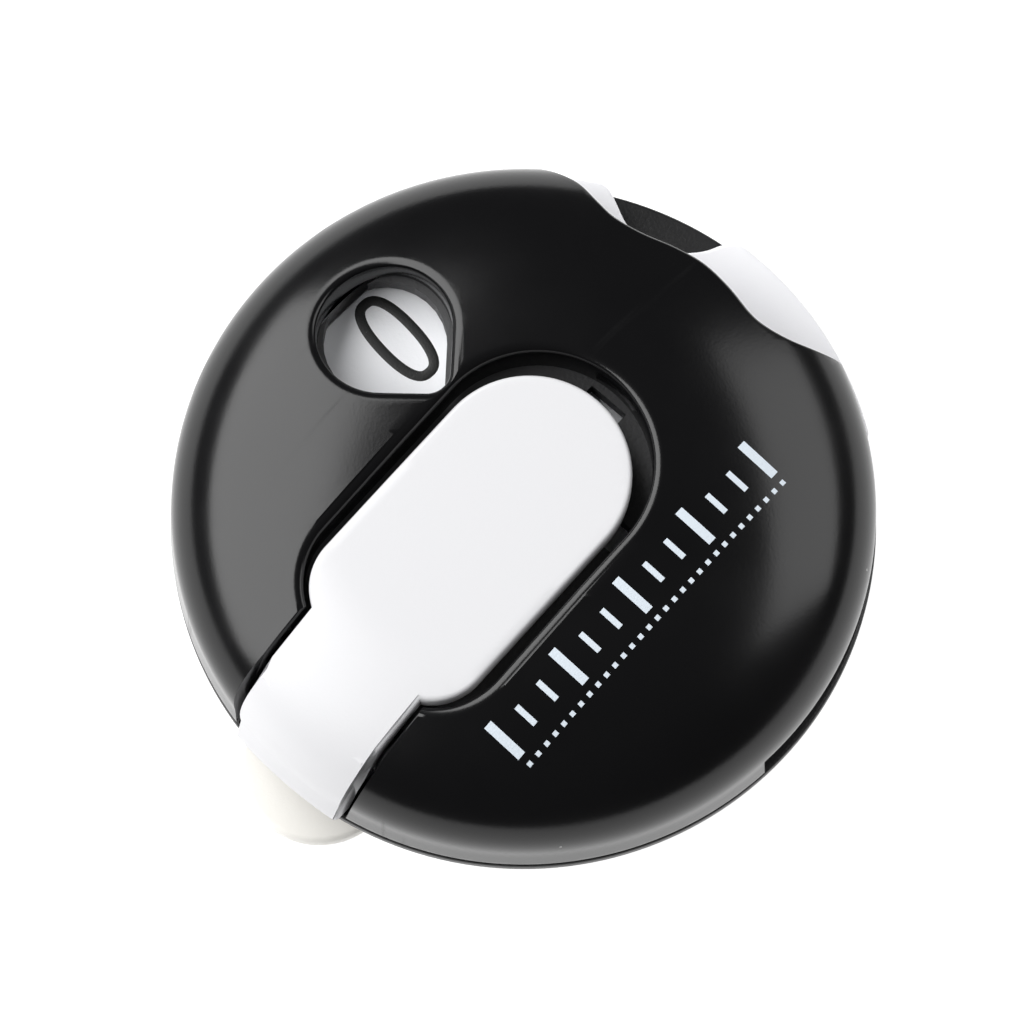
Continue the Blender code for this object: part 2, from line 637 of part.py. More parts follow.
def mainspring():
    """Flat strip, coiled outwards from the hub."""
    count = int(MAIN_TURNS * 20)

    def strip_edge(offset):
        line = []
        for i in range(count + 1):
            share = i / count
            radius = MAIN_IN_R + (MAIN_OUT_R - MAIN_IN_R) * share + offset
            line.append(polar(radius, share * MAIN_TURNS * 360 - 60, WHEEL_X))
        return line

    outline = strip_edge(MAIN_T) + list(reversed(strip_edge(0.0)))
    return prism("mainspring", outline, HUB_Z + 0.05 * MM, HUB_Z + MAIN_H - 0.05 * MM, STEEL, False)


# ---- plunger, slide, drive pawl -------------------------------------------
def count_plunger():
    head_z = PLUNGER_TOP_Z - PLUNGER_HEAD_T
    foot = SLIDE_Z + SLIDE_T + GAP
    profile = [(0.0, PLUNGER_TOP_Z), (PLUNGER_HEAD_R, PLUNGER_TOP_Z), (PLUNGER_HEAD_R, head_z),
               (PLUNGER_R, head_z), (PLUNGER_R, foot + 0.5 * MM), (0.3 * MM, foot), (0.0, foot)]
    plunger = turned("count_plunger", profile, ACETAL, steps=24)
    plunger.location.x = WHEEL_X
    return plunger


def drive_slide():
    slide = block("drive_slide", SLIDE_X0, SLIDE_X1, SLIDE_Y0, SLIDE_Y1, SLIDE_Z, SLIDE_Z + SLIDE_T,
                  ACETAL, False)
    # the plunger's tip runs down a ramp in this opening as the slide moves to -Y
    opening = block("ramp_opening", WHEEL_X - PLUNGER_R - GAP, WHEEL_X + PLUNGER_R + GAP,
                    -PLUNGER_R, PLUNGER_R + SLIDE_TRAVEL + 2 * GAP, SLIDE_Z - MM, SLIDE_Z + SLIDE_T + MM)
    corner_cut = block("slide_corner", SLIDE_X0 - MM, 3.2 * MM, SLIDE_Y0 - MM, -2.0 * MM,
                       SLIDE_Z - MM, SLIDE_Z + SLIDE_T + MM)
    pin_reach = PAWL_PIN_R + GAP
    pin_cut = block("hold_pin_corner", HOLD_X - pin_reach, SLIDE_X1 + MM, SLIDE_Y0 - MM,
                    HOLD_Y + pin_reach + SLIDE_TRAVEL, SLIDE_Z - MM, SLIDE_Z + SLIDE_T + MM)
    pin = cylinder("drive_pawl_stub", PAWL_PIN_R, SLIDE_Z + SLIDE_T / 2, RATCHET_Z + RATCHET_T,
                   DRIVE_PAWL_X, DRIVE_PAWL_Y, sides=16)
    spring_post = cylinder("spring_post", SPRING_POST_R, SLIDE_Z + SLIDE_T / 2, RATCHET_Z - GAP,
                           DRIVE_PAWL_X + HAIRPIN_R - HAIRPIN_WIRE_R - GAP - SPRING_POST_R,
                           SLIDE_Y1 - 0.4 * MM, sides=12)
    cut(slide, opening, corner_cut, pin_cut)
    join(slide, pin, spring_post)
    return slide


def drive_pawl():
    nose_x = WHEEL_X + RATCHET_TIP_R + TIP_GAP
    outline = [(nose_x, -0.3 * MM), (nose_x + 0.7 * MM, -0.4 * MM), (8.3 * MM, 2.2 * MM)]
    outline += arc(DRIVE_PAWL_X, DRIVE_PAWL_Y, 1.15 * MM, -20, 170, 9)
    outline += [(nose_x + 0.4 * MM, 1.2 * MM)]
    pawl = prism("drive_pawl", outline, RATCHET_Z, RATCHET_Z + RATCHET_T, STEEL, False)
    cut(pawl, cylinder("drive_pawl_bore", PAWL_PIN_R + GAP, RATCHET_Z - MM, RATCHET_Z + 2 * MM,
                       DRIVE_PAWL_X, DRIVE_PAWL_Y, sides=16))
    return pawl


def slide_spring():
    """Returns the slide to +Y after each count."""
    x, z, wire_r, radius = 5.0 * MM, SLIDE_Z + SLIDE_T / 2, 0.11 * MM, 0.36 * MM
    y0, y1 = -9.6 * MM + GAP + wire_r, SLIDE_Y0 - GAP - wire_r
    turns, per_turn = 8, 8
    total = turns * per_turn
    points = [(x + radius * cos(tau * i / per_turn), y0 + (y1 - y0) * i / total,
               z + radius * sin(tau * i / per_turn)) for i in range(total + 1)]
    return wire("slide_spring", points, wire_r)


# ---- reset lever and holding pawl -----------------------------------------
def reset_lever():
    """Arc in the rim channel, with two lobes and a finger notch between them."""
    notch = [(0.0, LOBE_BIG_END + 2.5), (0.2, 4.8), (1.3, 7.0), (2.2, 10.3), (NOTCH_DEPTH, 16.0),
             (2.2, 21.8), (1.3, 24.8), (0.3, 27.3), (0.0, 29.5)]
    outline = arc(0, 0, RESET_IN_R, RESET_FROM, RESET_TO, 24)
    outline += arc(0, 0, RESET_OUT_R, RESET_TO, LOBE_BIG_START - 1, 2)
    outline += arc(0, 0, RESET_LOBE_R, LOBE_BIG_START, LOBE_BIG_END, 14)
    outline += smooth([polar(RESET_LOBE_R - depth * MM, angle) for depth, angle in notch], 4)
    outline += arc(0, 0, RESET_LOBE_R, 30.5, LOBE_SMALL_END, 5)
    outline += [polar(RESET_OUT_R, LOBE_SMALL_END + 1), polar(RESET_OUT_R, RESET_FROM)]
    lever = prism("reset_lever", outline, FLANGE_Z + GAP, RESET_TOP_Z, WHITE, False)
    inset = 0.05 * MM
    join(lever,
         prism("lever_foot", sector(RESET_IN_R + inset, RESET_OUT_R - inset, RESET_TO + 0.2,
                                    RESET_FROM - 0.2, 20), RESET_Z, FLANGE_Z + 2 * GAP),
         prism("cam_finger", sector(CAM_IN_R, RESET_IN_R + 0.5 * MM, CAM_TO, CAM_FROM, 4),
               FLANGE_Z + 2 * GAP, RESET_TOP_Z - 0.2 * MM))
    return lever


def reset_spring():
    """Compression spring bent round the rim channel."""
    wire_r, radius = 0.14 * MM, 0.55 * MM
    z = (RESET_Z + RESET_TOP_Z) / 2
    margin = degrees((GAP + wire_r) / RESET_SPRING_R)
    start, end = RESET_TO - margin, RESET_POST_DEG + margin
    turns, per_turn = 13, 8
    total = turns * per_turn
    points = []
    for i in range(total + 1):
        turn = tau * i / per_turn
        x, y = polar(RESET_SPRING_R + radius * cos(turn), start + (end - start) * i / total)
        points.append((x, y, z + radius * sin(turn)))
    return wire("reset_spring", points, wire_r)


def holding_pawl():
    """Nose at the ratchet, and a tail with a peg that the reset lever's cam pushes."""
    shoe_r = CAM_IN_R - GAP
    outline = [polar(RATCHET_TIP_R + TIP_GAP, HOLD_NOSE_DEG, WHEEL_X),
               polar(RATCHET_TIP_R + TIP_GAP + 0.9 * MM, HOLD_NOSE_DEG, WHEEL_X)]
    outline += arc(HOLD_X, HOLD_Y, HOLD_EYE_R, 250, 320, 5)
    outline += arc(0, 0, shoe_r, *HOLD_SHOE_DEG, 4)
    outline += [polar(shoe_r - MM, HOLD_SHOE_DEG[1])]
    outline += arc(HOLD_X, HOLD_Y, HOLD_EYE_R, 60, 95, 3)
    pawl = prism("holding_pawl", outline, RATCHET_Z, RATCHET_Z + RATCHET_T, STEEL, False)
    peg_r = 0.5 * MM
    peg = cylinder("cam_peg", peg_r, FLANGE_Z + 3 * GAP, RATCHET_Z + RATCHET_T / 2,
                   *polar(shoe_r - peg_r - 0.1 * MM, sum(HOLD_SHOE_DEG) / 2), sides=16)
    join(pawl, peg)
    cut(pawl, cylinder("hold_bore", PAWL_PIN_R + GAP, RATCHET_Z - MM, RATCHET_Z + 2 * MM, HOLD_X,
                       HOLD_Y, sides=16))
    return pawl


def holding_pawl_pin():
    return cylinder("holding_pawl_pin", PAWL_PIN_R, FLOOR_Z - 0.5 * MM, RATCHET_Z + RATCHET_T, HOLD_X,
                    HOLD_Y, STEEL, False, 16)


def hairpin(name, x, y, z, end_a, end_b, turn_from, turn_to, rise=0.0):
    """Wire bent once round a pin, with two straight legs."""
    count = 16
    loop = [(px, py, z + rise * i / (count - 1))
            for i, (px, py) in enumerate(arc(x, y, HAIRPIN_R, turn_from, turn_to, count))]
    return wire(name, [(*end_a, z)] + loop + [(*end_b, z + rise)], HAIRPIN_WIRE_R)


def holding_pawl_spring():
    """Presses the holding pawl's nose into the ratchet."""
    return hairpin("holding_pawl_spring", HOLD_X, HOLD_Y, RATCHET_Z - 2 * GAP,
                   (HOLD_X - 3.4 * MM, HOLD_Y - 1.0 * MM), (HOLD_X + 0.4 * MM, HOLD_Y - 3.6 * MM), 250, 0)


def drive_pawl_spring():
    """Presses the drive pawl's nose into the ratchet, and rides on the slide."""
    return hairpin("drive_pawl_spring", DRIVE_PAWL_X, DRIVE_PAWL_Y, RATCHET_Z - 2.6 * GAP,
                   (DRIVE_PAWL_X + HAIRPIN_R, DRIVE_PAWL_Y - 2.4 * MM),
                   (DRIVE_PAWL_X + HAIRPIN_R, DRIVE_PAWL_Y + 2.6 * MM), 0, 360, 0.35 * MM)


# ---- clip -----------------------------------------------------------------
def clip_lever():
    """Thumb tab at the paddle's end, jaw at the far end."""
    half = [(CLIP_END_X, 0.0)] + arc(CLIP_END_X - 3 * MM, CLIP_HALF_W - 3 * MM, 3 * MM, 0, 90, 6)
    join_x = TAB_X + (TAB_R ** 2 - CLIP_HALF_W ** 2) ** 0.5
    half += [(join_x, CLIP_HALF_W)]
    start = degrees(acos((join_x - TAB_X) / TAB_R))
    half += arc(TAB_X, 0, TAB_R, start, 180, 12)[1:]
    lever = prism("clip_lever", mirrored(half), 0.0, CLIP_T, CREAM, False)
    edge = lever.modifiers.new("soft_edge", "BEVEL")
    edge.width = 0.3 * MM
    edge.segments = 2
    edge.limit_method = "ANGLE"
    edge.angle_limit = radians(60)
    for side in (1, -1):
        y0, y1 = sorted((side * CLIP_EAR_Y, side * (CLIP_EAR_Y + CLIP_EAR_W)))
        join(lever,
             cross_pin(f"jaw_ear_{side}", CLIP_EAR_R, CLIP_PIN_X, CLIP_PIN_Z, y0, y1),
             block(f"jaw_ear_foot_{side}", CLIP_PIN_X - 1.6 * MM, CLIP_PIN_X + 1.6 * MM, y0, y1,
                   CLIP_T / 2, CLIP_PIN_Z))
    join(lever, block("jaw_tooth", CLIP_END_X - 1.9 * MM, CLIP_END_X - 0.8 * MM, -3 * MM, 3 * MM,
                      CLIP_T / 2, BASE_Z - GAP))
    cut(lever, cross_pin("jaw_bore", PIN_R + GAP - 0.05 * MM, CLIP_PIN_X, CLIP_PIN_Z, -8 * MM, 8 * MM))
    return lever


def clip_pin():
    half = CASE_EAR_Y + CLIP_EAR_W
    return cross_pin("clip_pin", PIN_R - 0.05 * MM, CLIP_PIN_X, CLIP_PIN_Z, -half, half, STEEL, False)


def clip_spring():
    """Torsion spring round the clip's pin, one leg on the lever, one on the case."""
    wire_r, radius, turns, per_turn = 0.14 * MM, 0.92 * MM, 4.5, 12
    total = int(turns * per_turn)
    half = 1.2 * MM
    coil_points = []
    for i in range(total + 1):
        turn = -pi / 2 + tau * i / per_turn
        coil_points.append((CLIP_PIN_X + radius * cos(turn), -half + 2 * half * i / total,
                            CLIP_PIN_Z + radius * sin(turn)))
    low = (CLIP_PIN_X - 4 * MM, -half, CLIP_PIN_Z - radius)
    high = (CLIP_PIN_X - 4 * MM, half, CLIP_PIN_Z + radius)
    return wire("clip_spring", [low] + coil_points + [high], wire_r)


# ---- assembly -------------------------------------------------------------
top_cover()
inner_plate()
bottom_case()
case_screws()
paddle_pin()
slide_spring()
reset_spring()
mainspring()
holding_pawl_pin()
holding_pawl_spring()
clip_pin()
clip_spring()
coil("paddle_spring", -5.0 * MM, 0.0, PLATE_Z + PLATE_T + 0.2 * MM, CROWN_Z - PAD_SINK - PAD_T - 0.2 * MM,
     1.8 * MM, 0.15 * MM, 2.5, 12)

axis("count_press_axis", PIN_X, 0, PIN_Z, count_paddle())
axis("plunger_axis", WHEEL_X, 0, PLATE_Z, count_plunger())
axis("drive_slide_axis", DRIVE_PAWL_X, 0, SLIDE_Z, drive_slide(), drive_pawl_spring())
axis("drive_pawl_axis", DRIVE_PAWL_X, DRIVE_PAWL_Y, RATCHET_Z, drive_pawl())
axis("wheel_axis", WHEEL_X, 0, WHEEL_Z, number_wheel(), ratchet_wheel())
axis("reset_axis", 0, 0, RESET_Z, reset_lever())
axis("holding_pawl_axis", HOLD_X, HOLD_Y, RATCHET_Z, holding_pawl())
axis("clip_axis", CLIP_PIN_X, 0, CLIP_PIN_Z, clip_lever())

for part in PARTS.objects:
    if part.type == "MESH":
        part.data.shade_smooth()
        part.data.set_sharp_from_angle(angle=radians(35))
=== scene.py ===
"""Looks of a clip-on hand tally counter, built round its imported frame."""

from bisect import bisect_left
from math import acos, asin, ceil, cos, degrees, exp, hypot, log, pi, radians, sin, tau

import bpy
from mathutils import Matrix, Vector


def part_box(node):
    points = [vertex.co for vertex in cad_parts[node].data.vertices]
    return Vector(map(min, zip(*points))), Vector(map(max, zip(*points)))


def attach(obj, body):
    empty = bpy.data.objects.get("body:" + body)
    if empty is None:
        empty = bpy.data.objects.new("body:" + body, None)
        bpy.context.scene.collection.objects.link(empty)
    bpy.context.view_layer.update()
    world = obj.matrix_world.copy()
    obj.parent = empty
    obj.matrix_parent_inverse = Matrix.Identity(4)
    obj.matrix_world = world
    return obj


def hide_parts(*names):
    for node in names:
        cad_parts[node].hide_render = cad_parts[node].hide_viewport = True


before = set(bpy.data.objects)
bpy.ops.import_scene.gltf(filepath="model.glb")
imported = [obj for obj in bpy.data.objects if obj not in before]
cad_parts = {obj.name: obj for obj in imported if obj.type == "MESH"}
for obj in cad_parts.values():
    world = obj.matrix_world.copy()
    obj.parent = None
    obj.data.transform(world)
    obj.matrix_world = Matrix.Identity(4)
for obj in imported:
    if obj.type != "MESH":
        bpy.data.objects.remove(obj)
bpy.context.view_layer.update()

MM = 0.001

# ---- sizes shared by the pieces, in metres --------------------------------
DOME_R, DOME_H, DOME_POWER = 19.9 * MM, 7.0 * MM, 2.5
DOME_Z = 8.4 * MM
CROWN_Z = DOME_Z + DOME_H
SKIRT_R, SKIRT_Z = 20.1 * MM, 6.3 * MM
COVER_WALL = 1.5 * MM
COLLAR_WALL, COLLAR_Z = 1.0 * MM, 12.2 * MM
SIDE_SLOT = (-96.0, 41.0)                 # degrees about the case axis
# the cover's scalloped edge: degrees about the case axis, radius in mm
SCALLOPS = [(-24.6, 19.9), (-22.4, 18.8), (-18.7, 17.5), (-14.3, 16.65), (-9.9, 16.33), (-3.1, 16.5),
            (3.8, 16.64), (10, 16.5), (17, 16.35), (23.3, 16.7), (27.6, 17.5), (31.8, 18.6),
            (35.4, 19.25), (39.5, 19.8)]

PAD_HALF_W, PAD_END_X, PAD_TOP_Z, PAD_T = 5.7 * MM, 6.2 * MM, 14.6 * MM, 1.1 * MM
PAD_SHOULDER_X, PAD_SHOULDER_R = -10.1 * MM, 3.4 * MM
NECK_HALF_W, NECK_FLARE, NECK_FLARE_X = 4.0 * MM, 0.25 * MM, -16.5 * MM
PADDLE_RIM_R, PADDLE_FOOT_Z = 20.5 * MM, 6.4 * MM
PADDLE_PIN_X, PADDLE_PIN_Z = -16.4 * MM, 9.0 * MM
SLOT_HALF_W, SLOT_END_X, SLOT_NECK = 6.4 * MM, 7.6 * MM, 4.3 * MM
SLOT_SHOULDER_X, SLOT_SHOULDER_R = -9.4 * MM, 4.45 * MM
LIP_W, LIP_DROP = 0.6 * MM, 0.36 * MM      # the rolled lip round slot and window

ROW_X, TICK_PITCH, DOT_PITCH = -11.6 * MM, 1.76 * MM, 0.704 * MM

WINDOW_X, WINDOW_Y, WINDOW_R = 1.45 * MM, 11.7 * MM, 3.85 * MM
WINDOW_CORNER_R, WINDOW_CORNER_DEG = 1.3 * MM, -96.0

COUNTS = 13
WHEEL_X, WHEEL_IN_R, WHEEL_FLANGE_R = 1.1 * MM, 15.0 * MM, 15.7 * MM
WHEEL_Z, WHEEL_TOP_Z = 9.1 * MM, 10.3 * MM
FACET_DEG, NUMBER_DEG, NUMBER_R = 86.5, 84.0, 11.7 * MM
STOP_R, STOP_DEG = 14.2 * MM, 215.0        # the zero stop, about the wheel's axis

LEVER_IN_R, LEVER_OUT_R, LOBE_R = 15.9 * MM, 17.4 * MM, 20.15 * MM
LEVER_Z, LEVER_TOP_Z, LEVER_FOOT_Z = 6.3 * MM, 8.1 * MM, 5.6 * MM

BASE_Z, FLOOR_Z, FLANGE_Z = 3.9 * MM, 5.3 * MM, 6.0 * MM
BASE_R, FLANGE_R, FLANGE_IN_R = 19.2 * MM, 20.1 * MM, 17.7 * MM
RAIL_OUT_R, RAIL_IN_R = 15.6 * MM, 15.0 * MM
EAR_R, EAR_W, SLIVER = 1.0 * MM, 1.0 * MM, 0.01 * MM

CLIP_T, TAB_X, TAB_R, CLIP_HALF_W, CLIP_END_X = 1.3 * MM, -17.6 * MM, 4.6 * MM, 4.4 * MM, 15.0 * MM
CLIP_PIN_X, CLIP_PIN_Z = -7.0 * MM, 2.6 * MM

GRID = 0.5 * MM                            # mesh spacing on curved sheets


# ---- working by hand ------------------------------------------------------
def only(obj):
    """Nothing but obj is selected and active."""
    bpy.ops.object.select_all(action="DESELECT")
    obj.select_set(True)
    bpy.context.view_layer.objects.active = obj
    return obj


def added():
    return bpy.context.object


def in_edit_mode(obj, *steps):
    """Each step runs in edit mode with everything selected."""
    only(obj)
    bpy.ops.object.mode_set(mode="EDIT")
    for step in steps:
        bpy.ops.mesh.select_all(action="SELECT")
        step()
    bpy.ops.object.mode_set(mode="OBJECT")


def modify(obj, kind, **settings):
    """Adds a modifier with these settings and applies it."""
    only(obj)
    mod = obj.modifiers.new(kind.lower(), kind)
    for key, value in settings.items():
        setattr(mod, key, value)
    bpy.ops.object.modifier_apply(modifier=mod.name)
    return obj


def boolean(obj, operation, *tools):
    for tool in tools:
        modify(obj, "BOOLEAN", operation=operation, object=tool, solver="EXACT")
        bpy.data.objects.remove(tool)
    return obj


def clean(obj):
    """Doubles merged and faces turned outwards."""
    in_edit_mode(obj, lambda: bpy.ops.mesh.remove_doubles(threshold=1e-6),
                 lambda: bpy.ops.mesh.normals_make_consistent(inside=False))
    return obj


def soften(obj, width, segments=3, angle=50):
    """Rounds the sharp edges."""
    return modify(obj, "BEVEL", width=width, segments=segments, limit_method="ANGLE",
                  angle_limit=radians(angle), harden_normals=False)


def finished(obj, name, mat, body, replaces=(), smooth=35):
    """Names the piece, gives it its material and hangs it on its body."""
    obj.name = name
    only(obj)
    bpy.ops.object.transform_apply(location=True, rotation=True, scale=True)
    bpy.ops.object.shade_smooth_by_angle(angle=radians(smooth))
    obj.data.materials.clear()
    obj.data.materials.append(mat)
    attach(obj, body)
    if replaces:
        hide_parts(*replaces)
    return obj


# ---- outlines -------------------------------------------------------------
def arc(cx, cy, radius, start, end, count):
    step = (end - start) / (count - 1)
    angles = (radians(start + step * i) for i in range(count))
    return [(cx + radius * cos(a), cy + radius * sin(a)) for a in angles]


def polar(radius, angle, cx=0.0):
    return cx + radius * cos(radians(angle)), radius * sin(radians(angle))


def mirrored(half):
    """Closes an outline given on the +Y side, from +X round to -X."""
    return half + [(x, -y) for x, y in reversed(half) if abs(y) > 1e-9]


def smooth(points, count=5):
    """A curve through every point, with count steps between two of them."""
    ends = [points[0]] + list(points) + [points[-1]]
    line = []
    for group in zip(ends, ends[1:], ends[2:], ends[3:]):
        for i in range(count):
            t = i / count
            line.append(tuple(
                0.5 * (2 * q + (r - p) * t + (2 * p - 5 * q + 4 * r - s) * t ** 2
                       + (3 * q - p - 3 * r + s) * t ** 3)
                for p, q, r, s in zip(*group)))
    return line + [points[-1]]


def thumb_outline(half_w, end_x, shoulder_x, shoulder_r, neck, grow=0.0):
    """Pad with a round end, shoulders and a neck that runs out past the rim."""
    half_w, end_x, neck, shoulder_r = half_w + grow, end_x + grow, neck + grow, shoulder_r + grow
    centre_y = half_w - shoulder_r
    corner = 180 - degrees(asin((neck - centre_y) / shoulder_r))
    half = arc(end_x - half_w, 0, half_w, 0, 90, 25)
    half += [(half[-1][0] - 4 * MM, half_w)]
    half += arc(shoulder_x, centre_y, shoulder_r, 90, corner, 13)
    half += [(NECK_FLARE_X, neck), (-23 * MM, neck + NECK_FLARE * 1.5)]
    return mirrored(half)


def pad_outline(grow=0.0):
    return thumb_outline(PAD_HALF_W, PAD_END_X, PAD_SHOULDER_X, PAD_SHOULDER_R, NECK_HALF_W, grow)


def slot_outline(grow=0.0):
    """The paddle's slot. Beside the neck its lip is a quarter as wide."""
    return thumb_outline(SLOT_HALF_W, SLOT_END_X, SLOT_SHOULDER_X, SLOT_SHOULDER_R,
                         SLOT_NECK - 0.75 * grow, grow)


def window_outline(grow=0.0):
    """A circle drawn out to a rounded square corner."""
    radius, corner_r = WINDOW_R + grow, WINDOW_CORNER_R + grow
    reach = (WINDOW_R - WINDOW_CORNER_R) * 2 ** 0.5
    turn = radians(WINDOW_CORNER_DEG)
    big = arc(WINDOW_X, WINDOW_Y, radius, WINDOW_CORNER_DEG + 45, WINDOW_CORNER_DEG + 315, 56)
    small = arc(WINDOW_X + reach * cos(turn), WINDOW_Y + reach * sin(turn), corner_r,
                WINDOW_CORNER_DEG - 45, WINDOW_CORNER_DEG + 45, 14)
    return big + small


# ---- turned profiles that flat sheets are laid on -------------------------
class Profile:
    """A line of (radius, z) from the axis outwards, measured along its length."""

    def __init__(self, points):
        self.points = points
        self.lengths = [0.0]
        for (r0, z0), (r1, z1) in zip(points, points[1:]):
            self.lengths.append(self.lengths[-1] + hypot(r1 - r0, z1 - z0))
        self.radii = [r for r, _ in points]

    def flat_radius(self, radius):
        """How far along the line this radius is reached."""
        i = min(max(bisect_left(self.radii, radius), 1), len(self.radii) - 1)
        r0, r1 = self.radii[i - 1], self.radii[i]
        share = min(max((radius - r0) / max(r1 - r0, 1e-12), 0.0), 1.0)
        return self.lengths[i - 1] + share * (self.lengths[i] - self.lengths[i - 1])

    def flat(self, x, y):
        radius = hypot(x, y)
        scale = self.flat_radius(radius) / radius if radius > 1e-9 else 1.0
        return x * scale, y * scale

    def place(self, length):
        """Radius, z and outward normal at a length along the line."""
        i = min(max(bisect_left(self.lengths, length), 1), len(self.lengths) - 1)
        l0, l1 = self.lengths[i - 1], self.lengths[i]
        (r0, z0), (r1, z1) = self.points[i - 1], self.points[i]
        share = (length - l0) / (l1 - l0)
        return r0 + share * (r1 - r0), z0 + share * (z1 - z0), -(z1 - z0) / (l1 - l0), (r1 - r0) / (l1 - l0)


def dome_points(radius, height, count):
    line = []
    for i in range(count):
        angle = radians(90 * (1 - i / (count - 1)))
        line.append((radius * max(cos(angle), 0) ** (2 / DOME_POWER) if i else 0.0,
                     DOME_Z + height * sin(angle) ** (2 / DOME_POWER)))
    return line


def dome_z(radius):
    return DOME_Z + DOME_H * max(1 - (radius / DOME_R) ** DOME_POWER, 0) ** (1 / DOME_POWER)


COVER_LINE = Profile(dome_points(DOME_R, DOME_H, 400) + [(SKIRT_R, SKIRT_Z)])
COVER_RIM = COVER_LINE.lengths[-2]


def paddle_points():
    """Flat pad, eased into the dome's own curve, and over the rim."""
    ease = 0.1 * MM
    line = []
    for r, z in dome_points(DOME_R + 0.08 * MM, DOME_H + 0.05 * MM, 400):
        line.append((r, -ease * log(exp(-(PAD_TOP_Z - CROWN_Z) / ease) + exp(-(z - CROWN_Z) / ease))
                     + CROWN_Z))
    rim = smooth([line[-1], (20.22 * MM, 7.6 * MM), (20.42 * MM, 7.0 * MM),
                  (PADDLE_RIM_R, PADDLE_FOOT_Z)], 6)
    return line[:-1] + rim


PADDLE_LINE = Profile(paddle_points())


def ease_between(low, high, value):
    t = min(max((value - low) / (high - low), 0.0), 1.0)
    return t * t * (3 - 2 * t)


def lay_on(obj, line, depth_at):
    """Bends a flat sheet, top at z 0, onto a profile. depth_at(x, y) is its thickness there."""
    lowest = min(v.co.z for v in obj.data.vertices)
    for v in obj.data.vertices:
        x, y, z = v.co
        length = hypot(x, y)
        cx, cy = (x / length, y / length) if length > 1e-9 else (1.0, 0.0)
        r, pz, nr, nz = line.place(length)
        px, py = r * cx, r * cy
        # the neck's sides stay flat: there the wall's direction turns only in the XZ plane
        straight = ease_between(8 * MM, 6 * MM, abs(py)) * ease_between(-8 * MM, -11 * MM, px)
        dx, dy = cx * (1 - straight) - straight, cy * (1 - straight)
        lean = ease_between(13.5 * MM, 17.5 * MM, r)
        deep = depth_at(px, py) if z < lowest + 1e-7 else -z
        v.co = (px - deep * dx * nr * lean, py - deep * dy * nr * lean,
                pz - deep * (1 - lean + nz * lean))
    obj.data.update()


# ---- solids ---------------------------------------------------------------
def outline_loop(name, points):
    """A closed loop of edges through these points."""
    bpy.ops.mesh.primitive_circle_add(vertices=len(points), radius=MM, fill_type="NOTHING")
    loop = only(added())
    loop.name = name
    for vertex, point in zip(loop.data.vertices, points):
        vertex.co = point
    loop.location = (0, 0, 0)
    return loop


def edit_ring(obj, first, count, step):
    """One edit-mode step on a ring of the object's vertices."""
    bpy.ops.object.mode_set(mode="EDIT")
    bpy.ops.mesh.select_mode(type="VERT")
    bpy.ops.mesh.select_all(action="DESELECT")
    bpy.ops.object.mode_set(mode="OBJECT")
    for vertex in obj.data.vertices[first:first + count]:
        vertex.select = True
    bpy.ops.object.mode_set(mode="EDIT")
    step()
    bpy.ops.object.mode_set(mode="OBJECT")


def loft(name, rings):
    """A closed solid through rings of equal count, each extruded from the last."""
    count = len(rings[0])
    obj = outline_loop(name, rings[0])
    for k, ring in enumerate(rings[1:]):
        edit_ring(obj, k * count, count, bpy.ops.mesh.extrude_region_move)
        for vertex, point in zip(obj.data.vertices[(k + 1) * count:], ring):
            vertex.co = point
    for first in (0, (len(rings) - 1) * count):
        edit_ring(obj, first, count, bpy.ops.mesh.edge_face_add)
    in_edit_mode(obj, lambda: bpy.ops.mesh.normals_make_consistent(inside=False))
    return obj


def plate(name, outline, z0, z1, round_edge=0.0, segments=3):
    """A flat outline between two heights, with rounded edges."""
    obj = outline_loop(name, [(x, y, z0) for x, y in outline])
    rise = {"value": (0, 0, z1 - z0)}
    in_edit_mode(obj, bpy.ops.mesh.edge_face_add,
                 lambda: bpy.ops.mesh.extrude_region_move(TRANSFORM_OT_translate=rise),
                 lambda: bpy.ops.mesh.normals_make_consistent(inside=False))
    if round_edge:
        soften(obj, round_edge, segments)
    return obj


def rod(name, radius, start, end, sides=32, round_edge=0.0):
    """A cylinder between two points."""
    a, b = Vector(start), Vector(end)
    bpy.ops.mesh.primitive_cylinder_add(vertices=sides, radius=radius, depth=(b - a).length)
    obj = only(added())
    obj.name = name
    obj.rotation_euler = (b - a).to_track_quat("Z", "Y").to_euler()
    obj.location = (a + b) / 2
    bpy.ops.object.transform_apply(location=True, rotation=True, scale=True)
    if round_edge:
        soften(obj, round_edge, 2)
    return obj


def box(name, low, high, round_edge=0.0):
    a, b = Vector(low), Vector(high)
    bpy.ops.mesh.primitive_cube_add(size=1, location=(a + b) / 2, scale=b - a)
    obj = only(added())
    obj.name = name
    bpy.ops.object.transform_apply(location=True, rotation=True, scale=True)
    if round_edge:
        soften(obj, round_edge, 2)
    return obj


def turned(name, profile, steps=192):
    """A closed line of (radius, z) spun about Z."""
    obj = outline_loop(name, [(r, 0, z) for r, z in profile])
    in_edit_mode(obj, lambda: bpy.ops.mesh.spin(steps=steps, angle=tau, center=(0, 0, 0), axis=(0, 0, 1)))
    return clean(obj)


def wire(name, points, radius):
    """A round wire with domed ends along a chain of points."""
    curve = bpy.data.curves.new(name, "CURVE")
    curve.dimensions = "3D"
    curve.bevel_depth = radius
    curve.bevel_resolution = 3
    curve.use_fill_caps = True
    spline = curve.splines.new("POLY")
    spline.points.add(len(points) - 1)
    for point, co in zip(spline.points, points):
        point.co = (*co, 1)
    obj = bpy.data.objects.new(name, curve)
    bpy.context.scene.collection.objects.link(obj)
    only(obj)
    bpy.ops.object.convert(target="MESH")
    return clean(obj)


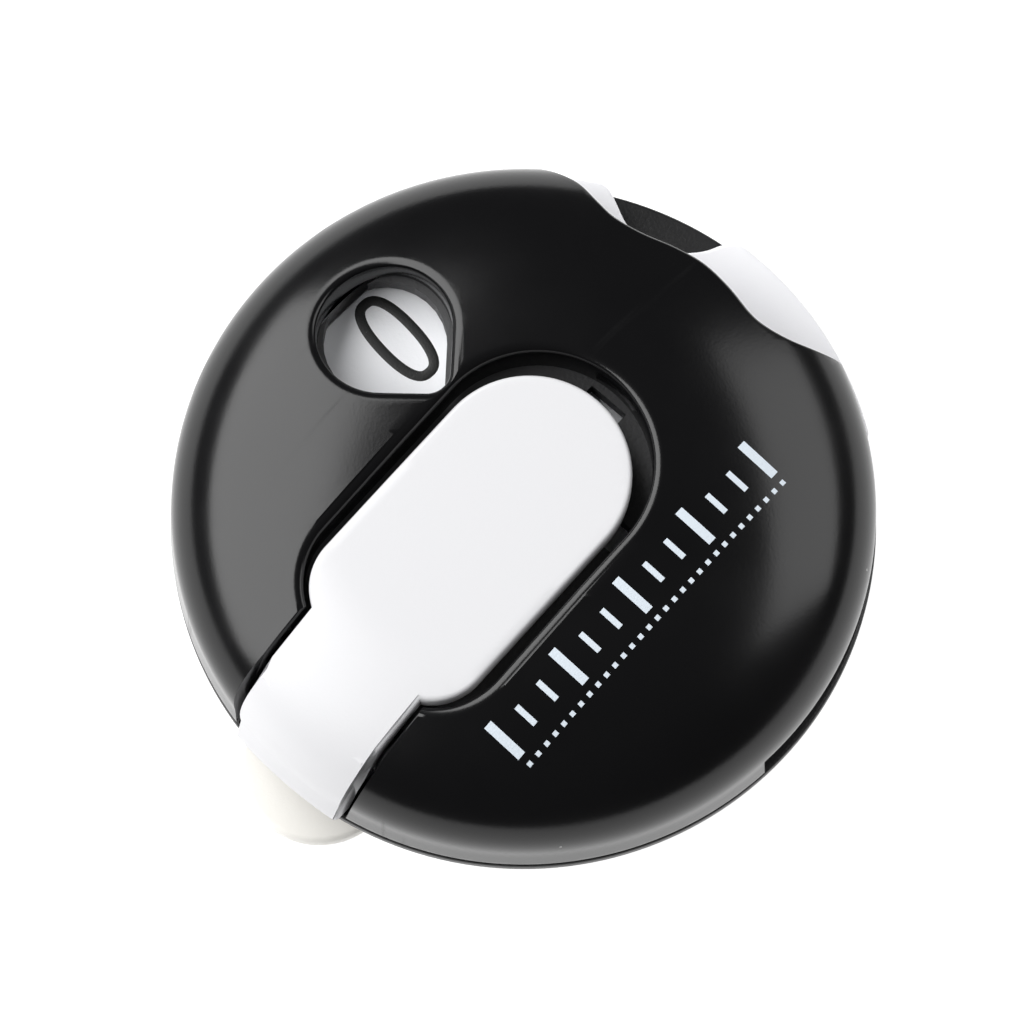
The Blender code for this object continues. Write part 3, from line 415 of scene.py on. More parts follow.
def sheet_blank(name, x0, x1, y0, y1, thick):
    """A flat slab with its top at z 0, in small squares above and below."""
    nx, ny = ceil((x1 - x0) / GRID), ceil((y1 - y0) / GRID)
    bpy.ops.mesh.primitive_grid_add(x_subdivisions=nx, y_subdivisions=ny, size=1,
                                    location=((x0 + x1) / 2, (y0 + y1) / 2, 0))
    obj = only(added())
    obj.name = name
    obj.scale = (x1 - x0, y1 - y0, 1)
    bpy.ops.object.transform_apply(location=True, rotation=True, scale=True)
    return modify(obj, "SOLIDIFY", thickness=thick, offset=-1)


def lip_rings(outline, line, depth, above=MM, steps=8):
    """Rings of a cutter whose upper edge is rolled outwards."""
    rings = []
    flat = [[line.flat(x, y) for x, y in outline(LIP_W * (1 - i / steps))] for i in range(steps + 1)]
    rings.append([(x, y, above) for x, y in flat[0]])
    for i in range(steps + 1):
        drop = LIP_DROP * (1 - (1 - (i / steps) ** 2) ** 0.5)
        rings.append([(x, y, -drop) for x, y in flat[i]])
    rings.append([(x, y, -depth) for x, y in flat[-1]])
    return rings


# ---- materials ------------------------------------------------------------
def shader_group(name, inputs, outputs):
    group = bpy.data.node_groups.new(name, "ShaderNodeTree")
    for label, value in inputs:
        socket = group.interface.new_socket(label, in_out="INPUT", socket_type="NodeSocketFloat")
        socket.default_value = value
    for label in outputs:
        group.interface.new_socket(label, in_out="OUTPUT", socket_type="NodeSocketFloat")
    return group, group.nodes.new("NodeGroupInput"), group.nodes.new("NodeGroupOutput")


def wear_group():
    """Slow tone, fine grain, dust specks and hairline scratches, each from 0 to 1."""
    group, given, out = shader_group(
        "moulded_surface",
        [("Tone Scale", 120.0), ("Grain Scale", 5000.0), ("Dust Scale", 700.0), ("Dust Share", 0.5)],
        ["Tone", "Grain", "Dust", "Scratches"])
    nodes, link = group.nodes, group.links.new
    place = nodes.new("ShaderNodeTexCoord").outputs["Object"]

    def noise(scale_name, detail, factor=1.0):
        node = nodes.new("ShaderNodeTexNoise")
        node.inputs["Detail"].default_value = detail
        link(place, node.inputs["Vector"])
        link(given.outputs[scale_name], node.inputs["Scale"])
        return node.outputs["Fac"]

    link(noise("Tone Scale", 4), out.inputs["Tone"])
    link(noise("Grain Scale", 2), out.inputs["Grain"])
    cells = nodes.new("ShaderNodeTexVoronoi")
    cells.inputs["Randomness"].default_value = 1.0
    link(place, cells.inputs["Vector"])
    link(given.outputs["Dust Scale"], cells.inputs["Scale"])
    speck = nodes.new("ShaderNodeMapRange")
    for key, value in (("From Min", 0.055), ("From Max", 0.03), ("To Min", 0.0), ("To Max", 1.0)):
        speck.inputs[key].default_value = value
    link(cells.outputs["Distance"], speck.inputs["Value"])
    parts = nodes.new("ShaderNodeSeparateColor")
    link(cells.outputs["Color"], parts.inputs["Color"])
    chosen = nodes.new("ShaderNodeMath")
    chosen.operation = "LESS_THAN"
    link(parts.outputs["Red"], chosen.inputs[0])
    link(given.outputs["Dust Share"], chosen.inputs[1])
    dust = nodes.new("ShaderNodeMath")
    dust.operation = "MULTIPLY"
    link(speck.outputs["Result"], dust.inputs[0])
    link(chosen.outputs["Value"], dust.inputs[1])
    link(dust.outputs["Value"], out.inputs["Dust"])
    # hairlines: thin ridges of a noise stretched along two directions
    stretch = nodes.new("ShaderNodeMapping")
    stretch.inputs["Rotation"].default_value = (0.0, 0.0, 0.6)
    stretch.inputs["Scale"].default_value = (60.0, 900.0, 60.0)
    link(place, stretch.inputs["Vector"])
    streak = nodes.new("ShaderNodeTexNoise")
    streak.inputs["Scale"].default_value = 1.0
    streak.inputs["Detail"].default_value = 3
    link(stretch.outputs["Vector"], streak.inputs["Vector"])
    thin = nodes.new("ShaderNodeMapRange")
    for key, value in (("From Min", 0.68), ("From Max", 0.74), ("To Min", 0.0), ("To Max", 1.0)):
        thin.inputs[key].default_value = value
    link(streak.outputs["Fac"], thin.inputs["Value"])
    link(thin.outputs["Result"], out.inputs["Scratches"])
    return group


WEAR = wear_group()


def plastic(name, colour, second, rough, rough_spread, grain=(5000.0, 0.02), dust=(700.0, 0.0),
            dust_colour=(0.5, 0.5, 0.5), scratch=0.0, metallic=0.0, specular=0.5, glow=0.0):
    """Moulded plastic or metal with tone, grain, dust and hairlines of its own."""
    mat = bpy.data.materials.new(name)
    mat.use_nodes = True
    nodes, link = mat.node_tree.nodes, mat.node_tree.links.new
    shader = nodes["Principled BSDF"]
    shader.inputs["Metallic"].default_value = metallic
    shader.inputs["Specular IOR Level"].default_value = specular
    wear = nodes.new("ShaderNodeGroup")
    wear.node_tree = WEAR
    for key, value in (("Grain Scale", grain[0]), ("Dust Scale", dust[0]), ("Dust Share", dust[1])):
        wear.inputs[key].default_value = value
    tone = nodes.new("ShaderNodeMix")
    tone.data_type = "RGBA"
    tone.inputs["A"].default_value = (*colour, 1)
    tone.inputs["B"].default_value = (*second, 1)
    link(wear.outputs["Tone"], tone.inputs["Factor"])
    dusty = nodes.new("ShaderNodeMix")
    dusty.data_type = "RGBA"
    dusty.inputs["B"].default_value = (*dust_colour, 1)
    link(wear.outputs["Dust"], dusty.inputs["Factor"])
    link(tone.outputs["Result"], dusty.inputs["A"])
    link(dusty.outputs["Result"], shader.inputs["Base Color"])
    spread = nodes.new("ShaderNodeMapRange")
    spread.inputs["From Min"].default_value = 0.3
    spread.inputs["From Max"].default_value = 0.7
    spread.inputs["To Min"].default_value = rough - rough_spread
    spread.inputs["To Max"].default_value = rough + rough_spread
    link(wear.outputs["Tone"], spread.inputs["Value"])
    dulled = nodes.new("ShaderNodeMath")
    dulled.operation = "MULTIPLY_ADD"
    dulled.inputs[1].default_value = scratch
    link(wear.outputs["Scratches"], dulled.inputs[0])
    link(spread.outputs["Result"], dulled.inputs[2])
    link(dulled.outputs["Value"], shader.inputs["Roughness"])
    bump = nodes.new("ShaderNodeBump")
    bump.inputs["Strength"].default_value = grain[1]
    bump.inputs["Distance"].default_value = 0.05 * MM
    link(wear.outputs["Grain"], bump.inputs["Height"])
    link(bump.outputs["Normal"], shader.inputs["Normal"])
    return mat


BLACK = plastic("black_satin_shell", (0.0036, 0.0036, 0.004), (0.0052, 0.0052, 0.0056), 0.19, 0.03,
                grain=(6500.0, 0.05), dust=(520.0, 0.1), dust_colour=(0.4, 0.4, 0.39), scratch=0.08,
                specular=0.37)
BASE_BLACK = plastic("black_base", (0.005, 0.005, 0.0055), (0.008, 0.008, 0.0085), 0.38, 0.05,
                     grain=(5200.0, 0.3), dust=(600.0, 0.04), dust_colour=(0.3, 0.3, 0.3), scratch=0.1)
INNER_BLACK = plastic("black_matt_inside", (0.05, 0.05, 0.052), (0.07, 0.07, 0.072), 0.6, 0.06,
                      grain=(4200.0, 0.7), dust=(900.0, 0.06), dust_colour=(0.2, 0.2, 0.2))
WHITE = plastic("white_thumb_paddle", (0.7, 0.7, 0.715), (0.675, 0.675, 0.69), 0.4, 0.04,
                grain=(5600.0, 0.12), dust=(480.0, 0.02), dust_colour=(0.7, 0.7, 0.7))
LEVER_WHITE = plastic("white_lever", (0.93, 0.93, 0.955), (0.9, 0.9, 0.925), 0.42, 0.04,
                      grain=(5600.0, 0.15), dust=(480.0, 0.02), dust_colour=(0.6, 0.6, 0.6))
WHEEL_WHITE = plastic("matt_number_wheel", (0.92, 0.93, 0.955), (0.89, 0.9, 0.925), 0.55, 0.05,
                      grain=(4800.0, 0.3), dust=(700.0, 0.02), dust_colour=(0.4, 0.4, 0.4))
CREAM = plastic("cream_clip", (0.94, 0.92, 0.87), (0.91, 0.89, 0.84), 0.45, 0.05,
                grain=(5000.0, 0.15), dust=(480.0, 0.02), dust_colour=(0.6, 0.6, 0.55))
ACETAL = plastic("waxy_acetal", (0.72, 0.71, 0.67), (0.64, 0.63, 0.6), 0.42, 0.06, grain=(4200.0, 0.3))
STEEL = plastic("bright_spring_steel", (0.62, 0.62, 0.64), (0.5, 0.5, 0.52), 0.26, 0.06,
                grain=(7000.0, 0.3), scratch=0.2, metallic=1.0)
SCREW_STEEL = plastic("dark_screw_steel", (0.28, 0.28, 0.29), (0.2, 0.2, 0.21), 0.34, 0.08,
                      grain=(6000.0, 0.5), scratch=0.2, metallic=1.0)


def ink(name, colour, speck, share):
    """Pad-printed ink with tiny gaps where the plastic shows through."""
    return plastic(name, colour, tuple(c * 0.94 for c in colour), 0.5, 0.05, grain=(9000.0, 0.4),
                   dust=(4200.0, share), dust_colour=speck)


BLACK_INK = ink("black_number_ink", (0.006, 0.006, 0.006), (0.3, 0.3, 0.31), 0.5)
PALE_INK = ink("pale_index_ink", (0.68, 0.75, 0.82), (0.35, 0.38, 0.42), 0.3)


# ---- cover ----------------------------------------------------------------
def distance_to(outline):
    """A function giving the distance from a point to the outline's nearest edge."""
    edges = list(zip(outline, outline[1:] + outline[:1]))

    def nearest(x, y):
        best = 1.0
        for (ax, ay), (bx, by) in edges:
            dx, dy = bx - ax, by - ay
            t = min(max(((x - ax) * dx + (y - ay) * dy) / (dx * dx + dy * dy + 1e-18), 0.0), 1.0)
            best = min(best, hypot(x - ax - t * dx, y - ay - t * dy))
        return best
    return nearest


def cover_rings():
    """The cover's rim laid flat: scallops, then the side slot's top, then the full skirt."""
    skirt = COVER_LINE.lengths[-1]
    low, high = SIDE_SLOT
    rim = [(low + (SCALLOPS[0][0] - low) * i / 45, COVER_RIM) for i in range(45)]
    rim += [(a, COVER_LINE.flat_radius(r * MM)) for a, r in smooth(SCALLOPS, 8)]
    rim += [(high - 0.4, COVER_RIM), (high, COVER_RIM), (high + 0.1, skirt)]
    rest = 360 - (high - low)
    rim += [(high + rest * i / 150, skirt) for i in range(1, 150)]
    rim += [(low + 359.9, skirt)]
    edge, steps = 0.3 * MM, 5
    rings = [[(*polar(r - edge, a), 0.5 * MM) for a, r in rim]]
    for i in range(steps + 1):
        t = i / steps
        drop = edge * (1 - (1 - t * t) ** 0.5)
        rings.append([(*polar(r - edge * (1 - t), a), -drop) for a, r in rim])
    rings.append([(*polar(r, a), -5 * MM) for a, r in rim])
    return rings


def cover_shell():
    """Domed cover with rolled lips, collars under them and a scalloped edge."""
    deep = 4 * MM
    reach = COVER_LINE.lengths[-1] + 0.3 * MM
    sheet = sheet_blank("cover_shell", -reach, reach, -reach, reach, deep)
    boolean(sheet, "INTERSECT", loft("cover_edge", cover_rings()))
    boolean(sheet, "DIFFERENCE",
            loft("slot_cutter", lip_rings(slot_outline, COVER_LINE, deep + MM)),
            loft("window_cutter", lip_rings(window_outline, COVER_LINE, deep + MM)))
    to_slot, to_window = distance_to(slot_outline()), distance_to(window_outline())

    def depth_at(x, y):
        near = min(to_slot(x, y), to_window(x, y)) < COLLAR_WALL
        collar = dome_z(hypot(x, y)) - COLLAR_Z
        return max(COVER_WALL, collar) if near else COVER_WALL

    lay_on(sheet, COVER_LINE, depth_at)
    return finished(sheet, "cover_shell", BLACK, "case", ["top_cover"], 40)


def index_row():
    """A printed row of plain marks along the paddle: bars, and dots below them."""
    tick_y, dot_y, dot_r, dots = -8.9 * MM, -10.75 * MM, 0.14 * MM, 31
    marks = []
    for i in range(COUNTS):
        x = ROW_X + i * TICK_PITCH
        tall = 1.25 * MM if i % 3 == 0 else 0.7 * MM
        wide = 0.27 * MM if i % 3 == 0 else 0.17 * MM
        marks.append((x, tick_y, wide, tall))
    for i in range(dots):
        marks.append((ROW_X + i * DOT_PITCH, dot_y, dot_r, dot_r))
    pieces = []
    for x, y, wide, tall in marks:
        bpy.ops.mesh.primitive_grid_add(x_subdivisions=1, y_subdivisions=5, size=2, location=(x, y, 0))
        mark = only(added())
        mark.scale = (wide, tall, 1)
        bpy.ops.object.transform_apply(location=True, rotation=True, scale=True)
        pieces.append(mark)
    bpy.ops.object.select_all(action="DESELECT")
    for mark in pieces:
        mark.select_set(True)
    bpy.context.view_layer.objects.active = pieces[0]
    bpy.ops.object.join()
    row = added()
    modify(row, "SOLIDIFY", thickness=0.03 * MM, offset=0)
    for v in row.data.vertices:
        v.co.z += dome_z(hypot(v.co.x, v.co.y)) + 0.002 * MM
    return finished(row, "index_marks", PALE_INK, "case")


# ---- paddle ---------------------------------------------------------------
def paddle_shell():
    """Thumb pad, neck and rim cap in one moulding, with softly rounded edges."""
    edge, steps, deep = 0.28 * MM, 5, 3 * MM
    flat = [[PADDLE_LINE.flat(x, y) for x, y in pad_outline(-edge * (1 - i / steps))]
            for i in range(steps + 1)]
    rings = [[(x, y, 0.5 * MM) for x, y in flat[0]]]
    for i in range(steps + 1):
        drop = edge * (1 - (1 - (i / steps) ** 2) ** 0.5)
        rings.append([(x, y, -drop) for x, y in flat[i]])
    rings.append([(x, y, -deep - MM) for x, y in flat[-1]])
    reach = PADDLE_LINE.lengths[-1]
    sheet = sheet_blank("paddle_shell", -reach, PAD_END_X + MM, -7 * MM, 7 * MM, deep)
    boolean(sheet, "INTERSECT", loft("paddle_edge", rings))
    # the free end is an arc about the case axis
    boolean(sheet, "INTERSECT", rod("paddle_end", reach - 0.05 * MM, (0, 0, -6 * MM), (0, 0, 3 * MM), 256))
    lay_on(sheet, PADDLE_LINE, lambda x, y: PAD_T)
    lug_y, lug_t, lug_r, bore_r = 2.5 * MM, 1.2 * MM, 1.6 * MM, 0.8 * MM
    pin = Vector((PADDLE_PIN_X, 0, PADDLE_PIN_Z))
    for side in (1, -1):
        y0, y1 = side * lug_y, side * (lug_y + lug_t)
        lug = rod("lug", lug_r, (pin.x, y0, pin.z), (pin.x, y1, pin.z), 48)
        web = box("web", (pin.x - 1.2 * MM, min(y0, y1) + 0.02 * MM, pin.z),
                  (pin.x + 1.2 * MM, max(y0, y1) - 0.02 * MM, pin.z + 3.4 * MM))
        boolean(lug, "UNION", web)
        boolean(lug, "DIFFERENCE", rod("bore", bore_r, (pin.x, -9 * MM, pin.z), (pin.x, 9 * MM, pin.z)))
        boolean(sheet, "UNION", lug)
    return finished(sheet, "paddle_shell", WHITE, "paddle", ["count_paddle"], 40)


# ---- number wheel ---------------------------------------------------------
def wheel_disc():
    """Thirteen-sided printed disc on a round flange, with the zero stop's peg."""
    bore_r, peg_r, peg_offset = 3.4 * MM, 0.5 * MM, 1.3 * MM
    circum_r = WHEEL_IN_R / cos(pi / COUNTS)
    step = 360 / COUNTS
    facets = [polar(circum_r, FACET_DEG + step * (i + 0.5), WHEEL_X) for i in range(COUNTS)]
    disc = plate("wheel_disc", facets, WHEEL_Z + 0.2 * MM, WHEEL_TOP_Z)
    soften(disc, 0.12 * MM, 3, 40)
    flange = rod("flange", WHEEL_FLANGE_R, (WHEEL_X, 0, WHEEL_Z), (WHEEL_X, 0, WHEEL_Z + 0.4 * MM), 160,
                 0.08 * MM)
    boolean(disc, "UNION", flange)
    peg_at = polar(STOP_R, STOP_DEG - degrees(peg_offset / STOP_R), WHEEL_X)
    peg_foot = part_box("number_wheel")[0][2]
    peg = rod("peg", peg_r, (*peg_at, peg_foot), (*peg_at, WHEEL_Z + 0.3 * MM), 24)
    boolean(disc, "UNION", peg)
    boolean(disc, "DIFFERENCE", rod("bore", bore_r, (WHEEL_X, 0, 5 * MM), (WHEEL_X, 0, 13 * MM), 96))
    return finished(disc, "wheel_disc", WHEEL_WHITE, "wheel", ["number_wheel"], 30)


def digit_strokes(digit, w, h):
    """Middle lines of a plain narrow digit, w and h from its centre."""
    top, low = h - w, w - h
    turns = [tau * (i + 0.5) / 48 for i in range(49)]
    oval = [(w * abs(cos(a)) ** 0.75 * (1 if cos(a) > 0 else -1),
             h * abs(sin(a)) ** 0.9 * (1 if sin(a) > 0 else -1)) for a in turns]
    return {
        "0": [oval],
        "1": [[(-0.55 * w, h - 0.9 * w), (0.15 * w, h), (0.15 * w, -h)]],
        "2": [arc(0, top, w, 165, -25, 12) + [(-w, -h), (w, -h)]],
        "3": [arc(0, top, w, 150, -80, 12), arc(0, low, w, 80, -150, 12),
              [(0.17 * w, top - 0.98 * w), (0.17 * w, low + 0.98 * w)]],
        "4": [[(0.45 * w, -h), (0.45 * w, h), (-w, -0.3 * h), (w, -0.3 * h)]],
        "5": [[(0.9 * w, h), (-0.8 * w, h), (-0.9 * w, 0.12 * h)]
              + arc(0, low + 0.25 * w, 1.05 * w, 125, -150, 14)],
        "6": [arc(0, low, w, 90, 450, 24), [(-w, low), (-w, 0.2 * h), (0.35 * w, h)]],
        "7": [[(-w, h), (w, h), (-0.25 * w, -h)]],
        "8": [arc(0, top, 0.9 * w, 0, 360, 24), arc(0, low + 0.05 * w, w, 0, 360, 24)],
        "9": [arc(0, top, w, 0, 360, 24), [(w, top), (w, -0.2 * h), (-0.35 * w, -h)]],
    }[digit]


def printed_numbers():
    """0 to 12 round the wheel, tops outwards, in flat rounded strokes."""
    stroke, ink_t, half_h, pitch = 0.3 * MM, 0.035 * MM, 2.72 * MM, 2.15 * MM
    strokes = []
    for count in range(COUNTS):
        digits = str(count)
        w = 1.1 * MM if len(digits) == 1 else 0.72 * MM
        turn = radians(NUMBER_DEG + 360 / COUNTS * count - 90)
        for k, digit in enumerate(digits):
            shift = (k - (len(digits) - 1) / 2) * pitch
            for line in digit_strokes(digit, w, half_h):
                points = []
                for x, y in line:
                    x, y = x + shift, y + NUMBER_R
                    points.append((WHEEL_X + x * cos(turn) - y * sin(turn),
                                   x * sin(turn) + y * cos(turn), 0))
                strokes.append(wire("stroke", points, stroke))
                open_line = hypot(points[0][0] - points[-1][0], points[0][1] - points[-1][1]) > 0.01 * MM
                for end in (points[0], points[-1]) if open_line else ():
                    strokes.append(rod("stroke_end", stroke, (end[0], end[1], -0.99 * stroke),
                                       (end[0], end[1], 0.99 * stroke), 20))
    bpy.ops.object.select_all(action="DESELECT")
    for obj in strokes:
        obj.select_set(True)
    bpy.context.view_layer.objects.active = strokes[0]
    bpy.ops.object.join()
    numbers = added()
    for v in numbers.data.vertices:
        v.co.z = WHEEL_TOP_Z + v.co.z * ink_t / stroke
    return finished(numbers, "printed_numbers", BLACK_INK, "wheel")


# ---- reset lever ----------------------------------------------------------
def lever_arc():
    """Arc in the rim channel with two lobes and a finger notch between them."""
    # degrees about the case axis, radius in mm
    notch = [(3.2, 20.15), (4.6, 19.9), (6.0, 19.35), (7.2, 18.75), (9.0, 18.2), (11.5, 17.75),
             (16.0, 17.5), (20.5, 17.75), (22.7, 18.15), (24.3, 18.7), (25.8, 19.3), (27.2, 19.8),
             (28.6, 20.05)]
    outline = arc(0, 0, LEVER_IN_R, 44, -40, 60)
    outline += arc(0, 0, LEVER_OUT_R, -40, -37, 3)
    outline += arc(0, 0, LOBE_R, -36, 1.5, 36)
    outline += [polar(r * MM, a) for a, r in smooth(notch, 5)]
    outline += arc(0, 0, LOBE_R - 0.1 * MM, 30.5, 39, 9)
    outline += [polar(LEVER_OUT_R, 40), polar(LEVER_OUT_R, 44)]
    lever = plate("lever_arc", outline, LEVER_Z, LEVER_TOP_Z, 0.28 * MM, 5)
    foot = plate("foot", arc(0, 0, LEVER_OUT_R - 0.05 * MM, -39.8, 43.8, 40)
                 + arc(0, 0, LEVER_IN_R + 0.05 * MM, 43.8, -39.8, 40), LEVER_FOOT_Z, LEVER_Z + 0.4 * MM)
    cam_out_r, cam_in_r, cam_low, cam_high = 16.5 * MM, 13.9 * MM, 6.6 * MM, 7.8 * MM
    finger = plate("cam", arc(0, 0, cam_out_r, -17, -12, 5) + arc(0, 0, cam_in_r, -12, -17, 5),
                   cam_low, cam_high)
    boolean(lever, "UNION", foot, finger)
    return finished(lever, "lever_arc", LEVER_WHITE, "reset", ["reset_lever"], 40)


# ---- case tray ------------------------------------------------------------
def pin_ear(x, z, side, y_near, half_w, foot_low, foot_high):
    """An upright ear for a cross pin, with a foot that joins it to its plate."""
    y0, y1 = sorted((side * y_near, side * (y_near + EAR_W)))
    ear = rod("ear", EAR_R, (x, y0, z), (x, y1, z), 40)
    foot = box("ear_foot", (x - half_w, y0 + SLIVER, foot_low), (x + half_w, y1 - SLIVER, foot_high))
    return boolean(ear, "UNION", foot)


def clip_pin_bore():
    """The cutter for the clip pin's hole, through every ear."""
    return rod("clip_pin_bore", 0.75 * MM, (CLIP_PIN_X, -8 * MM, CLIP_PIN_Z),
               (CLIP_PIN_X, 8 * MM, CLIP_PIN_Z))


def case_tray():
    """Turned tray with a rolled flange, screw posts, pin ears and clip ears."""
    roll = arc(FLANGE_R - 0.22 * MM, FLANGE_Z - 0.22 * MM, 0.22 * MM, 90, 0, 6)
    heel = arc(BASE_R - 0.7 * MM, BASE_Z + 0.7 * MM, 0.7 * MM, -20, -90, 8)
    profile = [(0.0, FLOOR_Z), (FLANGE_IN_R, FLOOR_Z), (FLANGE_IN_R, FLANGE_Z)] + roll
    profile += [(FLANGE_R, FLOOR_Z)] + heel + [(0.0, BASE_Z)]
    tray = turned("case_tray", profile)
    post_r, post_top, head_hole_r, shank_hole_r = 1.3 * MM, 7.8 * MM, 1.45 * MM, 0.9 * MM
    rail_top, pin_hole_r = 6.6 * MM, 0.8 * MM
    adds, cuts = [], []
    sunk = FLOOR_Z - 0.4 * MM              # where what stands on the floor starts
    for i in range(3):
        low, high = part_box(f"case_screw_{i + 1}")
        x, y = (low[0] + high[0]) / 2, (low[1] + high[1]) / 2
        adds.append(rod("post", post_r, (x, y, sunk), (x, y, post_top), 40))
        cuts.append(rod("head_hole", head_hole_r, (x, y, BASE_Z - MM), (x, y, BASE_Z + 1.4 * MM), 48))
        cuts.append(rod("shank_hole", shank_hole_r, (x, y, BASE_Z), (x, y, 9 * MM), 32))
    pin_low, pin_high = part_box("paddle_pin")
    px, pz = (pin_low[0] + pin_high[0]) / 2, (pin_low[2] + pin_high[2]) / 2
    for side in (1, -1):
        adds.append(pin_ear(px, pz, side, 4.5 * MM, 0.98 * MM, sunk, pz))
        adds.append(pin_ear(CLIP_PIN_X, CLIP_PIN_Z, side, 3.7 * MM, 0.98 * MM, CLIP_PIN_Z,
                            BASE_Z + 0.4 * MM))
    spring_post = arc(0, 0, LEVER_OUT_R, -108, -104, 5) + arc(0, 0, LEVER_IN_R, -104, -108, 5)
    adds.append(plate("spring_post", spring_post, sunk, LEVER_TOP_Z))
    for start, end in ((-4, 44), (-100, -66)):
        rail = arc(0, 0, RAIL_OUT_R, start, end, 30) + arc(0, 0, RAIL_IN_R, end, start, 30)
        adds.append(plate("rail", rail, sunk, rail_top))
    boolean(tray, "UNION", *adds)
    cuts.append(rod("pin_hole", pin_hole_r, (px, -9 * MM, pz), (px, 9 * MM, pz)))
    cuts.append(clip_pin_bore())
    boolean(tray, "DIFFERENCE", *cuts)
    return finished(tray, "case_tray", BASE_BLACK, "case", ["bottom_case"], 35)


def screw_heads():
    """Pan heads with a cross recess, seen from the back."""
    head_r, head_t, shank_r = 1.15 * MM, 0.8 * MM, 0.6 * MM
    arm, arm_w, recess = 0.66 * MM, 0.14 * MM, 0.45 * MM
    for i in range(3):
        node = f"case_screw_{i + 1}"
        low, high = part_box(node)
        x, y = (low[0] + high[0]) / 2, (low[1] + high[1]) / 2
        head = rod("head", head_r, (x, y, low[2]), (x, y, low[2] + head_t), 48, 0.25 * MM)
        boolean(head, "UNION", rod("shank", shank_r, (x, y, low[2] + 0.5 * MM), (x, y, high[2]), 24))
        for a, b in ((arm, arm_w), (arm_w, arm)):
            boolean(head, "DIFFERENCE",
                    box("drive", (x - a, y - b, low[2] - MM), (x + a, y + b, low[2] + recess)))
        finished(head, f"screw_head_{i + 1}", SCREW_STEEL, "case", [node], 35)


# ---- clip -----------------------------------------------------------------
def clip_jaw():
    """Rear clip: thumb tab, plate, pin ears and the tooth at the far end."""
    half = [(CLIP_END_X, 0.0)] + arc(CLIP_END_X - 3 * MM, CLIP_HALF_W - 3 * MM, 3 * MM, 0, 90, 16)
    join_x = TAB_X + (TAB_R ** 2 - CLIP_HALF_W ** 2) ** 0.5
    start = degrees(acos((join_x - TAB_X) / TAB_R))
    half += [(join_x + 0.5 * MM, CLIP_HALF_W)] + arc(TAB_X, 0, TAB_R, start, 180, 40)
    jaw = plate("clip_jaw", mirrored(half), 0.0, CLIP_T, 0.35 * MM, 4)
    for side in (1, -1):
        boolean(jaw, "UNION", pin_ear(CLIP_PIN_X, CLIP_PIN_Z, side, 2.4 * MM, 1.6 * MM, CLIP_T / 2,
                                      CLIP_PIN_Z - 0.1 * MM))
    # shallow grip grooves across the thumb tab's outer face
    groove_r, groove_z, groove_pitch, reach = 0.3 * MM, -0.12 * MM, 1.2 * MM, 2.6 * MM
    for k in range(4):
        x = TAB_X + (k - 1.5) * groove_pitch
        boolean(jaw, "DIFFERENCE",
                rod("groove", groove_r, (x, -reach, groove_z), (x, reach, groove_z), 20))
    boolean(jaw, "UNION", box("tooth", (CLIP_END_X - 1.9 * MM, -3 * MM, CLIP_T / 2),
                              (CLIP_END_X - 0.8 * MM, 3 * MM, BASE_Z - 0.3 * MM), 0.15 * MM))
    boolean(jaw, "DIFFERENCE", clip_pin_bore())
    return finished(jaw, "clip_jaw", CREAM, "clip", ["clip_lever"], 35)


# ---- springs that show ----------------------------------------------------
def clip_coil():
    """The clip's torsion spring round its pin, with two straight legs."""
    wire_r, radius, turns, per_turn = 0.14 * MM, 0.92 * MM, 4.5, 28
    total, half = int(turns * per_turn), 1.2 * MM
    points = []
    for i in range(total + 1):
        turn = -pi / 2 + tau * i / per_turn
        points.append((CLIP_PIN_X + radius * cos(turn), -half + 2 * half * i / total,
                       CLIP_PIN_Z + radius * sin(turn)))
    low = (CLIP_PIN_X - 4 * MM, -half, CLIP_PIN_Z - radius)
    high = (CLIP_PIN_X - 4 * MM, half, CLIP_PIN_Z + radius)
    coil = wire("clip_coil", [low] + points + [high], wire_r)
    return finished(coil, "clip_coil", STEEL, "case", ["clip_spring"], 60)


def rim_coil():
    """The reset lever's return spring, bent round the rim channel."""
    wire_r, radius, centre_r, z = 0.14 * MM, 0.55 * MM, 16.65 * MM, 6.85 * MM
    start, end, turns, per_turn = -41.5, -102.5, 13, 24
    total = turns * per_turn
    points = []
    for i in range(total + 1):
        turn = tau * i / per_turn
        points.append((*polar(centre_r + radius * cos(turn), start + (end - start) * i / total),
                       z + radius * sin(turn)))
    coil = wire("rim_coil", points, wire_r)
    return finished(coil, "rim_coil", STEEL, "case", ["reset_spring"], 60)


# ---- kept nodes -----------------------------------------------------------
KEPT = {"inner_plate": INNER_BLACK, "count_plunger": ACETAL, "drive_slide": ACETAL, "ratchet_wheel": ACETAL}


def dress_kept_nodes():
    """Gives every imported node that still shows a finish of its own."""
    for name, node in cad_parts.items():
        node.data.materials.clear()
        node.data.materials.append(KEPT.get(name, STEEL))


# ---- studio ---------------------------------------------------------------
AZIMUTH, ELEVATION, DISTANCE = radians(-48.45), radians(75.0), 280 * MM
AIM = Vector((0.0, 0.0, 8.4 * MM))
# focal length in mm, and how far the view's middle is moved, as parts of its width
LENS, SHIFT_X, SHIFT_Y = 174.234375, -0.01123046875, -0.00341796875


def direction(azimuth, elevation):
    """From the object towards a viewer at this azimuth and elevation, in degrees."""
    a, e = radians(azimuth), radians(elevation)
    return Vector((sin(a) * cos(e), -cos(a) * cos(e), sin(e)))


